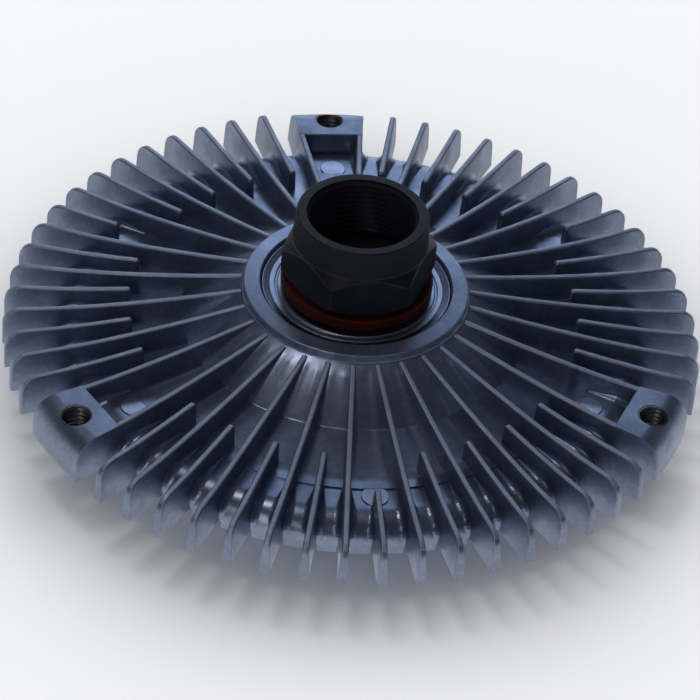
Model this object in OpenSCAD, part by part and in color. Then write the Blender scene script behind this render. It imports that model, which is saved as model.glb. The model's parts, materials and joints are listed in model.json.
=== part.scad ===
// Viscous fan clutch: finned die-cast housing on a bearing, hexagon hub, shear rotor and oil valve.
// Millimetres, +Z along the axis towards the hub. It rests on the fins of its front cover.

/* [Housing fins] */
// Diameter over the housing fins
fin_outer_d = 170; // [168:1:182]
// Height of a fin at its outer end
fin_h = 10.2; // [9:0.1:12]
// Height of a long fin where it meets the boss
fin_inner_h = 16.4; // [14:0.1:17.5]
// Radius of a fin's outer top corner
fin_corner_r = 4.2; // [2:0.1:6]
// Thickness of a fin at its lower edge
fin_root_t = 2.5; // [2:0.1:3.2]
// Thickness of a fin at its top edge
fin_tip_t = 1.45; // [1.1:0.05:1.9]
// Fin places from one lug to the next
lug_pitch_fins = 20; // [16:4:24]
// Radius at which the short fins start
short_fin_r = 54.3; // [48:0.1:58]
// Overlap of a fin's start on its ejector pad
pad_fin_lap = 0.7; // [0:0.1:1.5]

/* [Housing body] */
// Diameter of the outer wall
wall_d = 146; // [145:0.5:150]
// Rounding at the top of the outer wall
wall_corner_r = 4; // [1:0.1:5]
// Height of the flat outer ring above the fins' lower edge
ring_h = 6.2; // [5:0.1:7]
// Wall thickness between flat ring and working chamber
ring_t = 2; // [1.6:0.1:2.6]
// Depth of the rim below the fins
rim_drop = 2; // [1.6:0.1:2.6]
// Diameter of the step at the flat ring's inner edge
step_d = 120.4; // [114:0.2:126]
// Height of that step
step_h = 0.4; // [0.2:0.1:0.8]
// Width of the flat band inside that step
step_band_w = 3.2; // [2:0.1:5]
// Diameter of the crease between cone and dome
crease_d = 84; // [74:0.5:94]
// Height of the crease above the fins' lower edge
crease_h = 9.4; // [8:0.1:11]
// Diameter of the bearing boss
boss_d = 54.4; // [53:0.1:58]
// Height of the boss's upright side
boss_side_h = 2.2; // [1.5:0.1:3]
// Taper of the boss's side
boss_taper = 0.2; // [0:0.1:0.6]
// Chamfer at the boss's edge
boss_chamfer = 0.5; // [0.2:0.1:0.9]
// Width of the gap in the rim under each fin
rim_notch_w = 3.7; // [2.8:0.1:4.6]
// Thickness of the rim left between a fin and that gap
rim_notch_web = 0.5; // [0.4:0.1:0.8]
// Diameter of an ejector pad
pad_d = 6.4; // [4:0.1:7]
// Height of an ejector pad
pad_h = 0.3; // [0.1:0.1:0.6]
// Radius of the ejector pads' circle
pad_circle_r = 62.5; // [61:0.1:64]

/* [Fan lugs] */
// Number of lugs
lug_count = 3; // [3:1:4]
// Pitch circle of the fan's screws
lug_pcd = 156.7; // [153:0.1:159]
// Hole for the fan's screw thread
lug_hole_d = 6.8; // [5:0.1:8]
// Height of a lug's flat top above the fins' lower edge
lug_h = 10.6; // [9.5:0.1:12]
// Depth of a lug's underside below the fins
lug_drop = 0.2; // [0.1:0.1:0.3]
// Wall of a lug outside its hole
lug_wall = 2.95; // [2:0.05:3.2]
// Distance of a lug's inner face from the axis
lug_inner_r = 71.6; // [69:0.1:73]
// Rounding of a lug's outer top edge
lug_corner_r = 6; // [3:0.1:8]
// Width of a lug past the middle of its side fins
lug_side = 0.75; // [0.4:0.05:1]

/* [Bearing] */
// Outer diameter of the bearing
bearing_d = 47; // [44:0.5:48]
// Bore of the bearing
bearing_bore = 25; // [24:0.5:26]
// Width of the bearing
bearing_w = 12; // [11:0.5:13]
// Diameter of a ball
ball_d = 6.5; // [5.5:0.1:7]
// Number of balls
ball_count = 10; // [8:1:11]
// Wall of each ring beside its groove
ring_wall = 2.9; // [2.6:0.1:3.2]
// Chamfer at the seats of the bearing's rings
ring_chamfer = 1; // [0.6:0.1:1.2]
// Thickness of a shield
shield_t = 0.7; // [0.5:0.1:1]
// Width of a shield's raised outer band
shield_band_w = 1.2; // [0.8:0.1:2]
// Height of that band above the shield's inner part
shield_step = 0.3; // [0.2:0.1:0.5]
// Depth of a shield below the rings' faces
shield_inset = 0.1; // [0:0.1:0.4]
// Radial thickness of the ball cage
cage_t = 1.2; // [0.8:0.1:1.6]
// Width of the rolled lip over the bearing
stake_w = 0.4; // [0.3:0.1:1]
// Chamfer of the rolled lip's inner edge
lip_chamfer = 0.4; // [0.2:0.1:0.5]
// Thickness of the rolled lip over the bearing
stake_t = 0.8; // [0.5:0.1:1.2]
// Width of the shoulder under the bearing
seat_w = 2; // [1:0.1:2.6]
// Thickness of the shoulder under the bearing
seat_t = 1.8; // [1.2:0.1:2.4]

/* [Hub] */
// Hexagon across flats
hex_af = 33; // [30:0.5:34]
// Height of the hexagon
hex_h = 8.4; // [7:0.1:10]
// Diameter of the hub's upper rim
hub_rim_d = 31.6; // [30:0.1:31.9]
// Turn of the hexagon about the axis in degrees
hex_turn = 3.5; // [0:0.5:59.5]
// Height of the turned chamfer on the hexagon's lower corners
hex_chamfer_h = 2; // [1:0.1:3]
// Distance of the hexagon's round lower face inside its flats
hex_face_in = 0.2; // [0.1:0.1:0.6]
// Distance of the round neck inside the hexagon's flats
neck_in = 0.4; // [0.2:0.1:1]
// Height of the round neck above the hexagon
neck_h = 9.6; // [8:0.1:12]
// Bore of the hub's thread
hub_thread_d = 25.4; // [23:0.1:26.5]
// Depth of the hub's thread bore
hub_thread_depth = 15.5; // [12:0.1:16]
// Chamfer at the thread's mouth
hub_mouth = 0.7; // [0.3:0.1:1]
// Height of the spacer between bearing and hexagon
spacer_h = 3.8; // [3:0.1:6]
// Outer diameter of the dust seal
dust_seal_d = 36.8; // [34:0.1:38]
// Gap under the dust seal
dust_seal_gap = 0.5; // [0.2:0.1:0.8]
// Depth of the shaft's step from bearing seat to rotor seat
shaft_step = 0.5; // [0.3:0.1:1]
// Overhang of the shaft's riveted end
peen_w = 1.5; // [0.8:0.1:2]
// Height of the shaft's riveted end
peen_h = 0.5; // [0.3:0.1:0.7]

/* [Rotor] */
// Diameter of the rotor
rotor_d = 128; // [124:0.5:131]
// Thickness of the rotor's web
web_t = 1.6; // [1.2:0.1:2.2]
// Height of the concentric lands
land_h = 2.3; // [1.8:0.1:2.8]
// Thickness of one land
land_t = 1.2; // [0.9:0.1:1.4]
// Radial gap between rotor lands and housing lands
land_gap = 0.4; // [0.35:0.05:0.6]
// Axial gap beyond the tips of the lands
tip_gap = 0.4; // [0.35:0.05:0.6]
// Number of rotor lands
land_count = 6; // [4:1:6]
// Diameter of the rotor's boss
rotor_boss_d = 30; // [29:0.1:31]
// Gap between rotor and reservoir plate
plate_gap = 1.1; // [1:0.1:1.6]

/* [Front cover] */
// Diameter of the working chamber
chamber_d = 133; // [131.5:0.5:134]
// Thickness of the rim round the cover
rim_t = 3.6; // [3:0.1:4]
// Width of the rim's crimped lip
crimp_w = 1.2; // [0.8:0.1:1.5]
// Thickness of the crimped lip
crimp_t = 0.9; // [0.6:0.1:1.1]
// Thickness of the cover's flange
flange_t = 2.7; // [2.4:0.1:3]
// Width of the cover seal
cover_seal_w = 1.2; // [0.8:0.1:1.4]
// Height of the cover seal
cover_seal_h = 1; // [0.6:0.1:1.4]
// Thickness of the cover's front wall
front_t = 2.5; // [2:0.1:3.5]
// Diameter of the oil reservoir
reservoir_d = 112; // [106:0.5:116]
// Depth of the oil reservoir
reservoir_h = 3.6; // [3.2:0.1:5]
// Diameter of the cover's front face
face_d = 120; // [114:0.5:122]
// Height of the cover's upright side
cover_side_h = 3.4; // [2:0.1:4]
// Draft of the cover's upright side
cover_side_draft = 0.8; // [0.2:0.1:1.2]
// Number of fins on the cover
cover_fin_count = 40; // [28:4:48]
// Height of the cover's fins
cover_fin_h = 4.5; // [4:0.1:6]
// Thickness of the cover's fins
cover_fin_t = 2; // [1.4:0.1:2.6]
// Radius at which the cover's fins start
cover_fin_in_r = 32; // [31:0.5:36]
// Radius at which the cover's fins reach the resting plane's edge
cover_fin_out_r = 58; // [54:0.5:59]
// Radius at which the cover's fins end
cover_fin_end_r = 64; // [62:0.5:65]
// Diameter of the filling plug
fill_plug_d = 5; // [4:0.1:6]
// Distance of the filling plug from the axis
fill_plug_r = 22; // [20:0.5:25]

/* [Oil valve] */
// Thickness of the reservoir plate
plate_t = 1.2; // [0.8:0.1:1.6]
// Ledge that carries the reservoir plate
plate_ledge = 4.5; // [3:0.1:5]
// Diameter of the inlet port
inlet_d = 6; // [4:0.1:7]
// Distance of the inlet port from the axis
inlet_r = 30; // [26:0.5:36]
// Diameter of the return port
return_d = 3; // [2:0.1:4]
// Distance of the return port from the axis
return_r = 51; // [48:0.5:52]
// Length of the pump dam
dam_l = 10; // [6:0.5:14]
// Width of the pump dam
dam_w = 4; // [3:0.1:5]
// Gap between the return port's edge and the pump dam
dam_gap = 1; // [0.5:0.1:2]
// Height of the pump dam
dam_h = 0.6; // [0.4:0.1:0.7]
// Thickness of the valve lever
lever_t = 0.6; // [0.4:0.1:0.8]
// Width of the valve lever
lever_w = 9; // [8:0.1:11]
// Distance of the lever's rivet from the axis
rivet_r = 28; // [25:0.5:32]
// Length of the lever past its rivet
lever_tail = 4; // [3.6:0.1:5]
// Length of the lever past the inlet port's edge
lever_lap = 2; // [1:0.1:3]
// Diameter of the rivet's shank
rivet_d = 3; // [2.4:0.1:3.6]
// Overhang of the rivet's head
rivet_head_w = 1.1; // [0.8:0.1:1.6]
// Height of the rivet's head
rivet_head_h = 0.8; // [0.5:0.1:1.2]
// Diameter of the actuating pin
pin_d = 4; // [3.2:0.1:4.4]
// Height of the pin's tapered tip
pin_tip_h = 1; // [0.5:0.1:1.5]
// Diameter of the pin's tip
pin_tip_d = 1.4; // [0.8:0.1:2]
// Height of the guide boss inside the cover
guide_h = 1.6; // [1:0.1:1.8]
// Wall of the guide boss
guide_wall = 3.5; // [3:0.1:4]
// Section of the pin seal
pin_seal_t = 1.2; // [0.9:0.1:1.4]

/* [Bimetal strip] */
// Length of the strip
strip_l = 48; // [44:0.5:50]
// Width of the strip
strip_w = 12; // [10:0.5:14]
// Thickness of the strip
strip_t = 1; // [0.8:0.1:1.4]
// Height of the strip's front face above the resting plane
strip_clear = 1.2; // [1.1:0.1:1.5]
// Length of a strip holder
holder_l = 5; // [4:0.1:6]
// Side wall of a strip holder
holder_wall = 2.2; // [1.6:0.1:3]
// Overlap of a holder on the strip's end
holder_lap = 3; // [2:0.1:3.5]
// Thickness of a holder's hook
hook_t = 1; // [0.7:0.1:1]

/* [Clearances] */
// Radial clearance of pieces seated in one another
seat_fit = 0.05; // [0.02:0.01:0.1]
// Radial clearance of the balls in their grooves
ball_fit = 0.1; // [0.06:0.01:0.15]
// Radial clearance of the pin in its bore
pin_fit = 0.05; // [0.03:0.01:0.1]
// Gap of a piece that moves past another
run_gap = 0.35; // [0.3:0.05:0.6]
// Gap between pin and lever
pin_gap = 0.1; // [0.05:0.05:0.2]

/* [Hidden] */

$fn = 96;
small_fn = 48;
round_fn = 32;
// Overlap of cut and joined shapes
eps = 0.01;
// Length of a cut past the face it opens
cut = 1;
// Depth by which a long fin runs into the boss
fin_sink = 0.2;

// Heights, from the resting plane up
z_face = cover_fin_h;
z_reservoir = z_face + front_t;
z_plate = z_reservoir + reservoir_h;
z_chamber = z_plate + plate_t;
z_web = z_chamber + plate_gap;
z_web_top = z_web + web_t;
z_land_tip = z_web_top + land_h;
z_ceiling = z_land_tip + tip_gap;
z_ring = z_ceiling + ring_t;
z_fin = z_ring - ring_h;
z_rim = z_fin - rim_drop;
z_flange = z_rim + crimp_t;
z_seat = z_flange + flange_t;
z_crease = z_fin + crease_h;
z_bearing = z_ceiling + seat_t;
z_bearing_top = z_bearing + bearing_w;
z_boss = z_bearing_top + stake_t;
z_hex = z_bearing_top + spacer_h;
z_neck = z_hex + hex_h;
z_hub = z_neck + neck_h;

// Radii
fin_r = fin_outer_d / 2;
wall_r = wall_d / 2;
lug_r = (lug_pcd + lug_hole_d) / 2 + lug_wall;
boss_r = boss_d / 2;
boss_foot_r = boss_r + boss_taper;
z_boss_foot = z_boss - boss_side_h;
bearing_r = bearing_d / 2;
lip_r = bearing_r - stake_w;
bore_r = bearing_bore / 2;
pitch_r = (bearing_r + bore_r) / 2;
ball_r = ball_d / 2;
inner_ring_r = bore_r + ring_wall;
outer_ring_r = bearing_r - ring_wall;
shield_out_r = outer_ring_r - seat_fit;
rim_in_r = wall_r - rim_t;
flange_r = rim_in_r - seat_fit;
crimp_r = rim_in_r - crimp_w;
cover_r = crimp_r - run_gap;
cover_foot_r = cover_r - cover_side_draft;
z_cover_foot = z_flange - cover_side_h;
face_r = face_d / 2;
cover_cone = (z_cover_foot - z_face) / (cover_foot_r - face_r);
chamber_r = chamber_d / 2;
reservoir_r = reservoir_d / 2;
plate_r = reservoir_r + plate_ledge;
seal_out_r = (flange_r + chamber_r + cover_seal_w) / 2;
seal_in_r = seal_out_r - cover_seal_w;
rotor_r = rotor_d / 2;
rotor_seat_r = bore_r - shaft_step;
land_pitch = 2 * (land_t + land_gap);
housing_land_r = rotor_r - 2 * land_t - land_gap;
pin_r = pin_d / 2;
hex_r = hex_af / sqrt(3);
hex_face_r = hex_af / 2 - hex_face_in;
hex_cone_h = hex_chamfer_h * (hex_r + cut - hex_face_r) / (hex_r - hex_face_r);
neck_r = hex_af / 2 - neck_in;
lever_end = inlet_r + inlet_d / 2 + lever_lap;
lever_pivot = rivet_r + lever_tail;
z_lever = z_plate - lever_t;
strip_top = strip_clear + strip_t;
z_pin = z_lever - pin_gap;

// Pattern of the housing's fins
fin_places = lug_count * lug_pitch_fins;
fin_step = 360 / fin_places;
fin_round_r = fin_r - fin_corner_r;
fin_foot_r = (rim_in_r + wall_r) / 2;
fin_sunk_h = ring_h - ring_t / 2;
extra_short_r = pad_circle_r + pad_d / 2 - pad_fin_lap;
half_pitch = lug_pitch_fins / 2;

// Height of a fin's top edge at a distance from the axis
function fin_top(r) =
    fin_h + (fin_inner_h - fin_h)
    * pow(max(0, (fin_round_r - r) / (fin_round_r - boss_r)), 1.6);

// Points along a fin's top edge, from its outer corner inwards
function fin_edge(r_in, steps) =
    [for (i = [0:steps]) let (r = fin_round_r + (r_in - fin_round_r) * i / steps) [r, fin_top(r)]];

// Distance from the axis at which a fin starts
function fin_start(place) =
    place % 2 == 1 ? boss_r - fin_sink : (place % half_pitch == 0 ? extra_short_r : short_fin_r);

// Side view of a fin, radius along X and height along Y
module fin_side(r_in, steps) {
    polygon(concat(
        [[fin_foot_r, fin_sunk_h], [fin_foot_r, 0], [fin_r, 0], [fin_r, fin_h - fin_corner_r],
         [fin_round_r, fin_h - fin_corner_r]],
        fin_edge(r_in, steps),
        [[r_in, fin_sunk_h]]));
    translate([fin_round_r, fin_h - fin_corner_r])
        circle(r = fin_corner_r, $fn = round_fn);
}

// Section across a fin, drafted from its lower edge to its top edge
module fin_section() {
    polygon([[-fin_root_t / 2, -eps], [fin_root_t / 2, -eps], [fin_tip_t / 2, fin_h],
             [fin_tip_t / 2, fin_inner_h + cut], [-fin_tip_t / 2, fin_inner_h + cut],
             [-fin_tip_t / 2, fin_h]]);
}

// One fin standing on the plane of the fins' lower edges
module fin(r_in, steps) {
    intersection() {
        rotate([90, 0, 0])
            linear_extrude(height = fin_root_t + cut, center = true)
                fin_side(r_in, steps);
        rotate([90, 0, 90])
            linear_extrude(height = fin_r + cut)
                fin_section();
    }
}

// One lug for the fan's screw, between two fins
module lug() {
    side_tan = tan(fin_step);
    far = lug_r + cut;
    corner_r = lug_r - lug_corner_r;
    corner_h = lug_h - lug_corner_r;
    intersection() {
        rotate_extrude() {
            translate([fin_foot_r, -lug_drop])
                square([corner_r - fin_foot_r, lug_h + lug_drop]);
            translate([corner_r, -lug_drop])
                square([lug_corner_r, corner_h + lug_drop]);
            translate([corner_r, corner_h])
                circle(r = lug_corner_r, $fn = round_fn);
        }
        translate([0, 0, -cut])
            linear_extrude(height = lug_h + 2 * cut)
                polygon([[lug_inner_r, -lug_inner_r * side_tan - lug_side], [far, -far * side_tan - lug_side],
                         [far, far * side_tan + lug_side], [lug_inner_r, lug_inner_r * side_tan + lug_side]]);
    }
}

// Half section of the housing without fins
module housing_section() {
    difference() {
        union() {
            polygon([[0, z_ceiling], [0, z_boss], [boss_r - boss_chamfer, z_boss],
                     [boss_r, z_boss - boss_chamfer], [boss_foot_r, z_boss_foot],
                     [crease_d / 2, z_crease], [step_d / 2 - step_band_w, z_ring + step_h],
                     [step_d / 2, z_ring + step_h], [step_d / 2, z_ceiling]]);
            translate([0, z_ceiling])
                square([wall_r - wall_corner_r, ring_t]);
            translate([wall_r - wall_corner_r, z_ring - wall_corner_r])
                circle(r = wall_corner_r, $fn = round_fn);
            translate([chamber_r, z_rim])
                square([wall_r - wall_corner_r - chamber_r, z_ring - z_rim]);
            translate([chamber_r, z_rim])
                square([wall_r - chamber_r, z_ring - wall_corner_r - z_rim]);
            for (i = [0:land_count - 1])
                translate([housing_land_r - i * land_pitch, z_web_top + tip_gap])
                    square([land_t, z_ceiling - z_web_top - tip_gap + ring_t / 2]);
        }
        translate([-cut, z_ceiling - cut])
            square([cut + bearing_r - seat_w, z_bearing - z_ceiling + 2 * cut]);
        polygon([[-cut, z_bearing], [bearing_r + seat_fit, z_bearing],
                 [bearing_r + seat_fit, z_bearing_top - ring_chamfer],
                 [bearing_r + seat_fit - ring_chamfer, z_bearing_top], [-cut, z_bearing_top]]);
        polygon([[-cut, z_bearing], [lip_r, z_bearing], [lip_r, z_boss - lip_chamfer],
                 [lip_r + lip_chamfer + eps, z_boss + eps], [-cut, z_boss + eps]]);
        translate([-cut, z_flange])
            square([cut + rim_in_r, flange_t]);
        translate([-cut, z_rim - cut])
            square([cut + crimp_r, crimp_t + 2 * cut]);
    }
}

// Rear housing cast in one piece with its fins, lugs and bearing boss
module finned_housing() {
    color([0.36, 0.39, 0.47])
    difference() {
        union() {
            rotate_extrude()
                housing_section();
            for (place = [0:fin_places - 1])
                if (place % lug_pitch_fins != 0)
                    rotate([0, 0, 90 - place * fin_step])
                        translate([0, 0, z_fin])
                            fin(fin_start(place), place % 2 == 1 ? 8 : 4);
            for (i = [0:lug_count - 1])
                rotate([0, 0, 90 + i * 360 / lug_count])
                    translate([0, 0, z_fin])
                        lug();
            for (i = [0:2 * lug_count - 1])
                rotate([0, 0, 90 + i * 180 / lug_count])
                    translate([pad_circle_r, 0, z_ring - ring_t / 2])
                        cylinder(d = pad_d, h = ring_t / 2 + pad_h, $fn = round_fn);
        }
        for (i = [0:lug_count - 1])
            rotate([0, 0, 90 + i * 360 / lug_count])
                translate([lug_pcd / 2, 0, z_fin - lug_drop - cut])
                    cylinder(d = lug_hole_d, h = lug_h + lug_drop + 2 * cut, $fn = small_fn);
        for (place = [0:fin_places - 1])
            if (place % lug_pitch_fins != 0)
                rotate([0, 0, 90 - place * fin_step])
                    translate([crimp_r - cut, -rim_notch_w / 2, z_rim - cut])
                        cube([wall_r - crimp_r + 2 * cut, rim_notch_w, rim_drop - rim_notch_web + cut]);
    }
}

// Ring made by turning a rectangle about the axis
module turned_ring(r_out, r_in, z, h) {
    rotate_extrude()
        translate([r_in, z])
            square([r_out - r_in, h]);
}

// Hexagon hub with its threaded neck, spacer, bearing seat, rotor seat and riveted end
module hub_shaft() {
    color([0.13, 0.13, 0.14])
    difference() {
        union() {
            intersection() {
                rotate([0, 0, hex_turn])
                    translate([0, 0, z_hex])
                        cylinder(r = hex_r, h = hex_h, $fn = 6);
                rotate_extrude()
                    polygon([[0, z_hex - cut], [hex_face_r, z_hex - cut], [hex_face_r, z_hex],
                             [hex_r + cut, z_hex + hex_cone_h], [hex_r + cut, z_neck + cut],
                             [0, z_neck + cut]]);
            }
            rotate_extrude()
                polygon([[0, z_web - peen_h], [rotor_seat_r + peen_w, z_web - peen_h],
                         [rotor_seat_r + peen_w, z_web], [rotor_seat_r, z_web], [rotor_seat_r, z_bearing],
                         [bore_r, z_bearing], [bore_r, z_bearing_top],
                         [inner_ring_r, z_bearing_top], [inner_ring_r, z_hex + hex_chamfer_h],
                         [neck_r, z_hex + hex_chamfer_h], [neck_r, z_neck], [hub_rim_d / 2, z_hub], [0, z_hub]]);
        }
        translate([0, 0, z_hub - hub_thread_depth])
            cylinder(d = hub_thread_d, h = hub_thread_depth + cut);
        translate([0, 0, z_hub - hub_mouth])
            cylinder(d1 = hub_thread_d, d2 = hub_thread_d + 2 * hub_mouth + 2 * eps, h = hub_mouth + eps);
    }
}

// Ring of red elastomer between hexagon and bearing
module hub_dust_seal() {
    color([0.45, 0.14, 0.08])
    turned_ring(dust_seal_d / 2, inner_ring_r + seat_fit,
                z_bearing_top + dust_seal_gap, spacer_h - dust_seal_gap);
}

// Groove for the balls
module ball_groove() {
    rotate_extrude()
        translate([pitch_r, z_bearing + bearing_w / 2])
            circle(r = ball_r + ball_fit, $fn = small_fn);
}

// Plain bearing ring from its groove side to its chamfered seat
module bearing_ring(groove_r, seat_r) {
    in = seat_r > groove_r ? -ring_chamfer : ring_chamfer;
    rotate_extrude()
        polygon([[groove_r, z_bearing], [seat_r + in, z_bearing], [seat_r, z_bearing + ring_chamfer],
                 [seat_r, z_bearing_top - ring_chamfer], [seat_r + in, z_bearing_top],
                 [groove_r, z_bearing_top]]);
}

// Outer ring of the bearing, held in the boss
module bearing_outer_ring() {
    color([0.70, 0.71, 0.73])
    difference() {
        bearing_ring(outer_ring_r, bearing_r);
        ball_groove();
    }
}

// Inner ring of the bearing, on the shaft
module bearing_inner_ring() {
    color([0.70, 0.71, 0.73])
    difference() {
        bearing_ring(inner_ring_r, bore_r + seat_fit);
        ball_groove();
    }
}

// Balls of the bearing
module bearing_balls() {
    color([0.80, 0.81, 0.83])
    for (i = [0:ball_count - 1])
        rotate([0, 0, i * 360 / ball_count])
            translate([pitch_r, 0, z_bearing + bearing_w / 2])
                sphere(r = ball_r, $fn = round_fn);
}

// Cage with a round pocket for each ball
module bearing_cage() {
    cage_gap = shield_inset + shield_t + shield_step + run_gap;
    color([0.55, 0.46, 0.30])
    difference() {
        turned_ring(pitch_r + cage_t / 2, pitch_r - cage_t / 2,
                    z_bearing + cage_gap, bearing_w - 2 * cage_gap);
        for (i = [0:ball_count - 1])
            rotate([0, 0, i * 360 / ball_count])
                translate([pitch_r - cage_t, 0, z_bearing + bearing_w / 2])
                    rotate([0, 90, 0])
                        cylinder(r = ball_r + ball_fit, h = 2 * cage_t, $fn = round_fn);
    }
}

// Shield with a raised outer band, standing on the plane of its inner face
module bearing_shield() {
    rotate_extrude() {
        translate([inner_ring_r + run_gap, 0])
            square([shield_out_r - inner_ring_r - run_gap, shield_t]);
        translate([shield_out_r - shield_band_w, 0])
            square([shield_band_w, shield_t + shield_step]);
    }
}

// Shield that closes the bearing on the hub's side
module bearing_rear_shield() {
    color([0.62, 0.63, 0.66])
    translate([0, 0, z_bearing_top - shield_inset - shield_step - shield_t])
        bearing_shield();
}

// Shield that closes the bearing on the rotor's side
module bearing_front_shield() {
    color([0.62, 0.63, 0.66])
    translate([0, 0, z_bearing + shield_inset + shield_step + shield_t])
        mirror([0, 0, 1])
            bearing_shield();
}

// Rotor with concentric lands that shear the oil
module rotor_disc() {
    color([0.66, 0.68, 0.70])
    rotate_extrude() {
        translate([rotor_seat_r + seat_fit, z_web])
            square([rotor_r - rotor_seat_r - seat_fit, web_t]);
        translate([rotor_seat_r + seat_fit, z_web])
            square([rotor_boss_d / 2 - rotor_seat_r - seat_fit, z_bearing - z_web]);
        for (i = [0:land_count - 1])
            translate([rotor_r - land_t - i * land_pitch, z_web])
                square([land_t, web_t + land_h]);
    }
}

// Half section of the front cover without fins
module cover_section() {
    difference() {
        polygon([[0, z_face], [face_r, z_face], [cover_foot_r, z_cover_foot],
                 [cover_r, z_flange], [flange_r, z_flange], [flange_r, z_seat], [0, z_seat]]);
        translate([-cut, z_chamber])
            square([cut + chamber_r, z_seat]);
        translate([-cut, z_plate])
            square([cut + plate_r + seat_fit, z_seat]);
        translate([-cut, z_reservoir])
            square([cut + reservoir_r, z_seat]);
        translate([seal_in_r - seat_fit, z_seat - cover_seal_h])
            square([cover_seal_w + 2 * seat_fit, cover_seal_h + cut]);
    }
}

// Side view of a cover fin, radius along X and height along Y
module cover_fin_side() {
    z_fin_foot = z_face + front_t / 2;
    z_fin_end = z_face + (cover_fin_end_r - face_r) * cover_cone;
    polygon([[cover_fin_in_r, 0], [cover_fin_out_r, 0], [cover_fin_end_r, z_fin_end],
             [face_r, z_fin_foot], [cover_fin_in_r, z_fin_foot]]);
}

// Hook that carries one end of the bimetal strip
module strip_holder() {
    inner = strip_l / 2 - holder_lap;
    half_w = strip_w / 2 + seat_fit;
    hook = max(0, strip_clear - hook_t);
    difference() {
        translate([inner, -half_w - holder_wall, hook])
            cube([holder_l, 2 * (half_w + holder_wall), z_face - hook + front_t / 2]);
        translate([inner - cut, -half_w, strip_clear])
            cube([holder_lap + cut + seat_fit, 2 * half_w, strip_t]);
        translate([inner - cut, -half_w + holder_wall, hook - cut])
            cube([holder_l - holder_wall + cut, 2 * (half_w - holder_wall), strip_clear - hook + cut + eps]);
    }
}

// Cast cover that closes the housing, with the oil reservoir inside and fins in front
module front_cover() {
    guide_r = pin_r + guide_wall;
    color([0.42, 0.45, 0.52])
    difference() {
        union() {
            rotate_extrude()
                cover_section();
            for (i = [0:cover_fin_count - 1])
                rotate([0, 0, (i + 0.5) * 360 / cover_fin_count])
                    rotate([90, 0, 0])
                        linear_extrude(height = cover_fin_t, center = true)
                            cover_fin_side();
            translate([0, 0, z_face])
                cylinder(r = guide_r, h = front_t + guide_h, $fn = small_fn);
            for (a = [0, 180])
                rotate([0, 0, a])
                    strip_holder();
        }
        translate([0, 0, z_face - cut])
            cylinder(r = pin_r + pin_fit, h = front_t + guide_h + 2 * cut, $fn = small_fn);
        translate([0, 0, z_reservoir + guide_h - pin_seal_t])
            cylinder(r = pin_r + pin_fit + pin_seal_t + seat_fit, h = pin_seal_t + cut, $fn = small_fn);
        rotate([0, 0, 90])
            translate([fill_plug_r, 0, z_face - cut])
                cylinder(d = fill_plug_d + 2 * seat_fit, h = front_t + 2 * cut, $fn = small_fn);
    }
}

// Sealing ring between cover flange and housing
module cover_seal() {
    color([0.10, 0.10, 0.10])
    turned_ring(seal_out_r, seal_in_r, z_seat - cover_seal_h, cover_seal_h);
}

// Plate between working chamber and reservoir, with inlet port, return port and rivet hole
module reservoir_plate() {
    color([0.60, 0.60, 0.62])
    difference() {
        translate([0, 0, z_plate])
            cylinder(r = plate_r, h = plate_t);
        translate([inlet_r, 0, z_plate - cut])
            cylinder(d = inlet_d, h = plate_t + 2 * cut, $fn = small_fn);
        translate([0, return_r, z_plate - cut])
            cylinder(d = return_d, h = plate_t + 2 * cut, $fn = small_fn);
        translate([-rivet_r, 0, z_plate - cut])
            cylinder(d = rivet_d + 2 * seat_fit, h = plate_t + 2 * cut, $fn = small_fn);
    }
}

// Small block beside the return port that turns the oil back into the reservoir
module pump_dam() {
    color([0.72, 0.58, 0.30])
    translate([return_d / 2 + dam_gap, return_r - dam_w / 2, z_chamber])
        cube([dam_l, dam_w, dam_h]);
}

// Leaf that covers the inlet port
module valve_lever() {
    color([0.58, 0.62, 0.66])
    difference() {
        translate([0, 0, z_lever])
            linear_extrude(height = lever_t) {
                translate([-lever_pivot, -lever_w / 2])
                    square([lever_pivot + inlet_r, lever_w]);
                translate([inlet_r, 0])
                    circle(r = lever_end - inlet_r);
            }
        translate([-rivet_r, 0, z_lever - cut])
            cylinder(d = rivet_d + 2 * run_gap, h = lever_t + 2 * cut, $fn = small_fn);
    }
}

// Rivet that holds the lever's fixed end on the plate
module valve_rivet() {
    color([0.70, 0.70, 0.72])
    translate([-rivet_r, 0, 0]) {
        translate([0, 0, z_lever - run_gap - rivet_head_h])
            cylinder(d = rivet_d + 2 * rivet_head_w, h = rivet_head_h, $fn = small_fn);
        translate([0, 0, z_lever - run_gap - rivet_head_h])
            cylinder(d = rivet_d, h = z_chamber - z_lever + run_gap + rivet_head_h, $fn = small_fn);
        translate([0, 0, z_chamber])
            cylinder(d = rivet_d + 2 * rivet_head_w, h = plate_gap - run_gap, $fn = small_fn);
    }
}

// Pin between bimetal strip and valve lever
module actuating_pin() {
    color([0.74, 0.74, 0.76])
    rotate_extrude($fn = small_fn)
        polygon([[0, strip_top], [pin_r, strip_top], [pin_r, z_pin - pin_tip_h],
                 [pin_tip_d / 2, z_pin], [0, z_pin]]);
}

// Sealing ring round the pin
module pin_seal() {
    color([0.12, 0.12, 0.12])
    rotate_extrude($fn = small_fn)
        translate([pin_r + pin_fit, z_reservoir + guide_h - pin_seal_t])
            square([pin_seal_t, pin_seal_t]);
}

// Strip that bows with the temperature of the air and moves the pin
module bimetal_strip() {
    color([0.66, 0.60, 0.48])
    translate([-strip_l / 2, -strip_w / 2, strip_clear])
        cube([strip_l, strip_w, strip_t]);
}

// Plug pressed into the filling hole
module fill_plug() {
    color([0.68, 0.68, 0.70])
    rotate([0, 0, 90])
        translate([fill_plug_r, 0, z_face])
            cylinder(d = fill_plug_d, h = front_t, $fn = small_fn);
}

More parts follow.
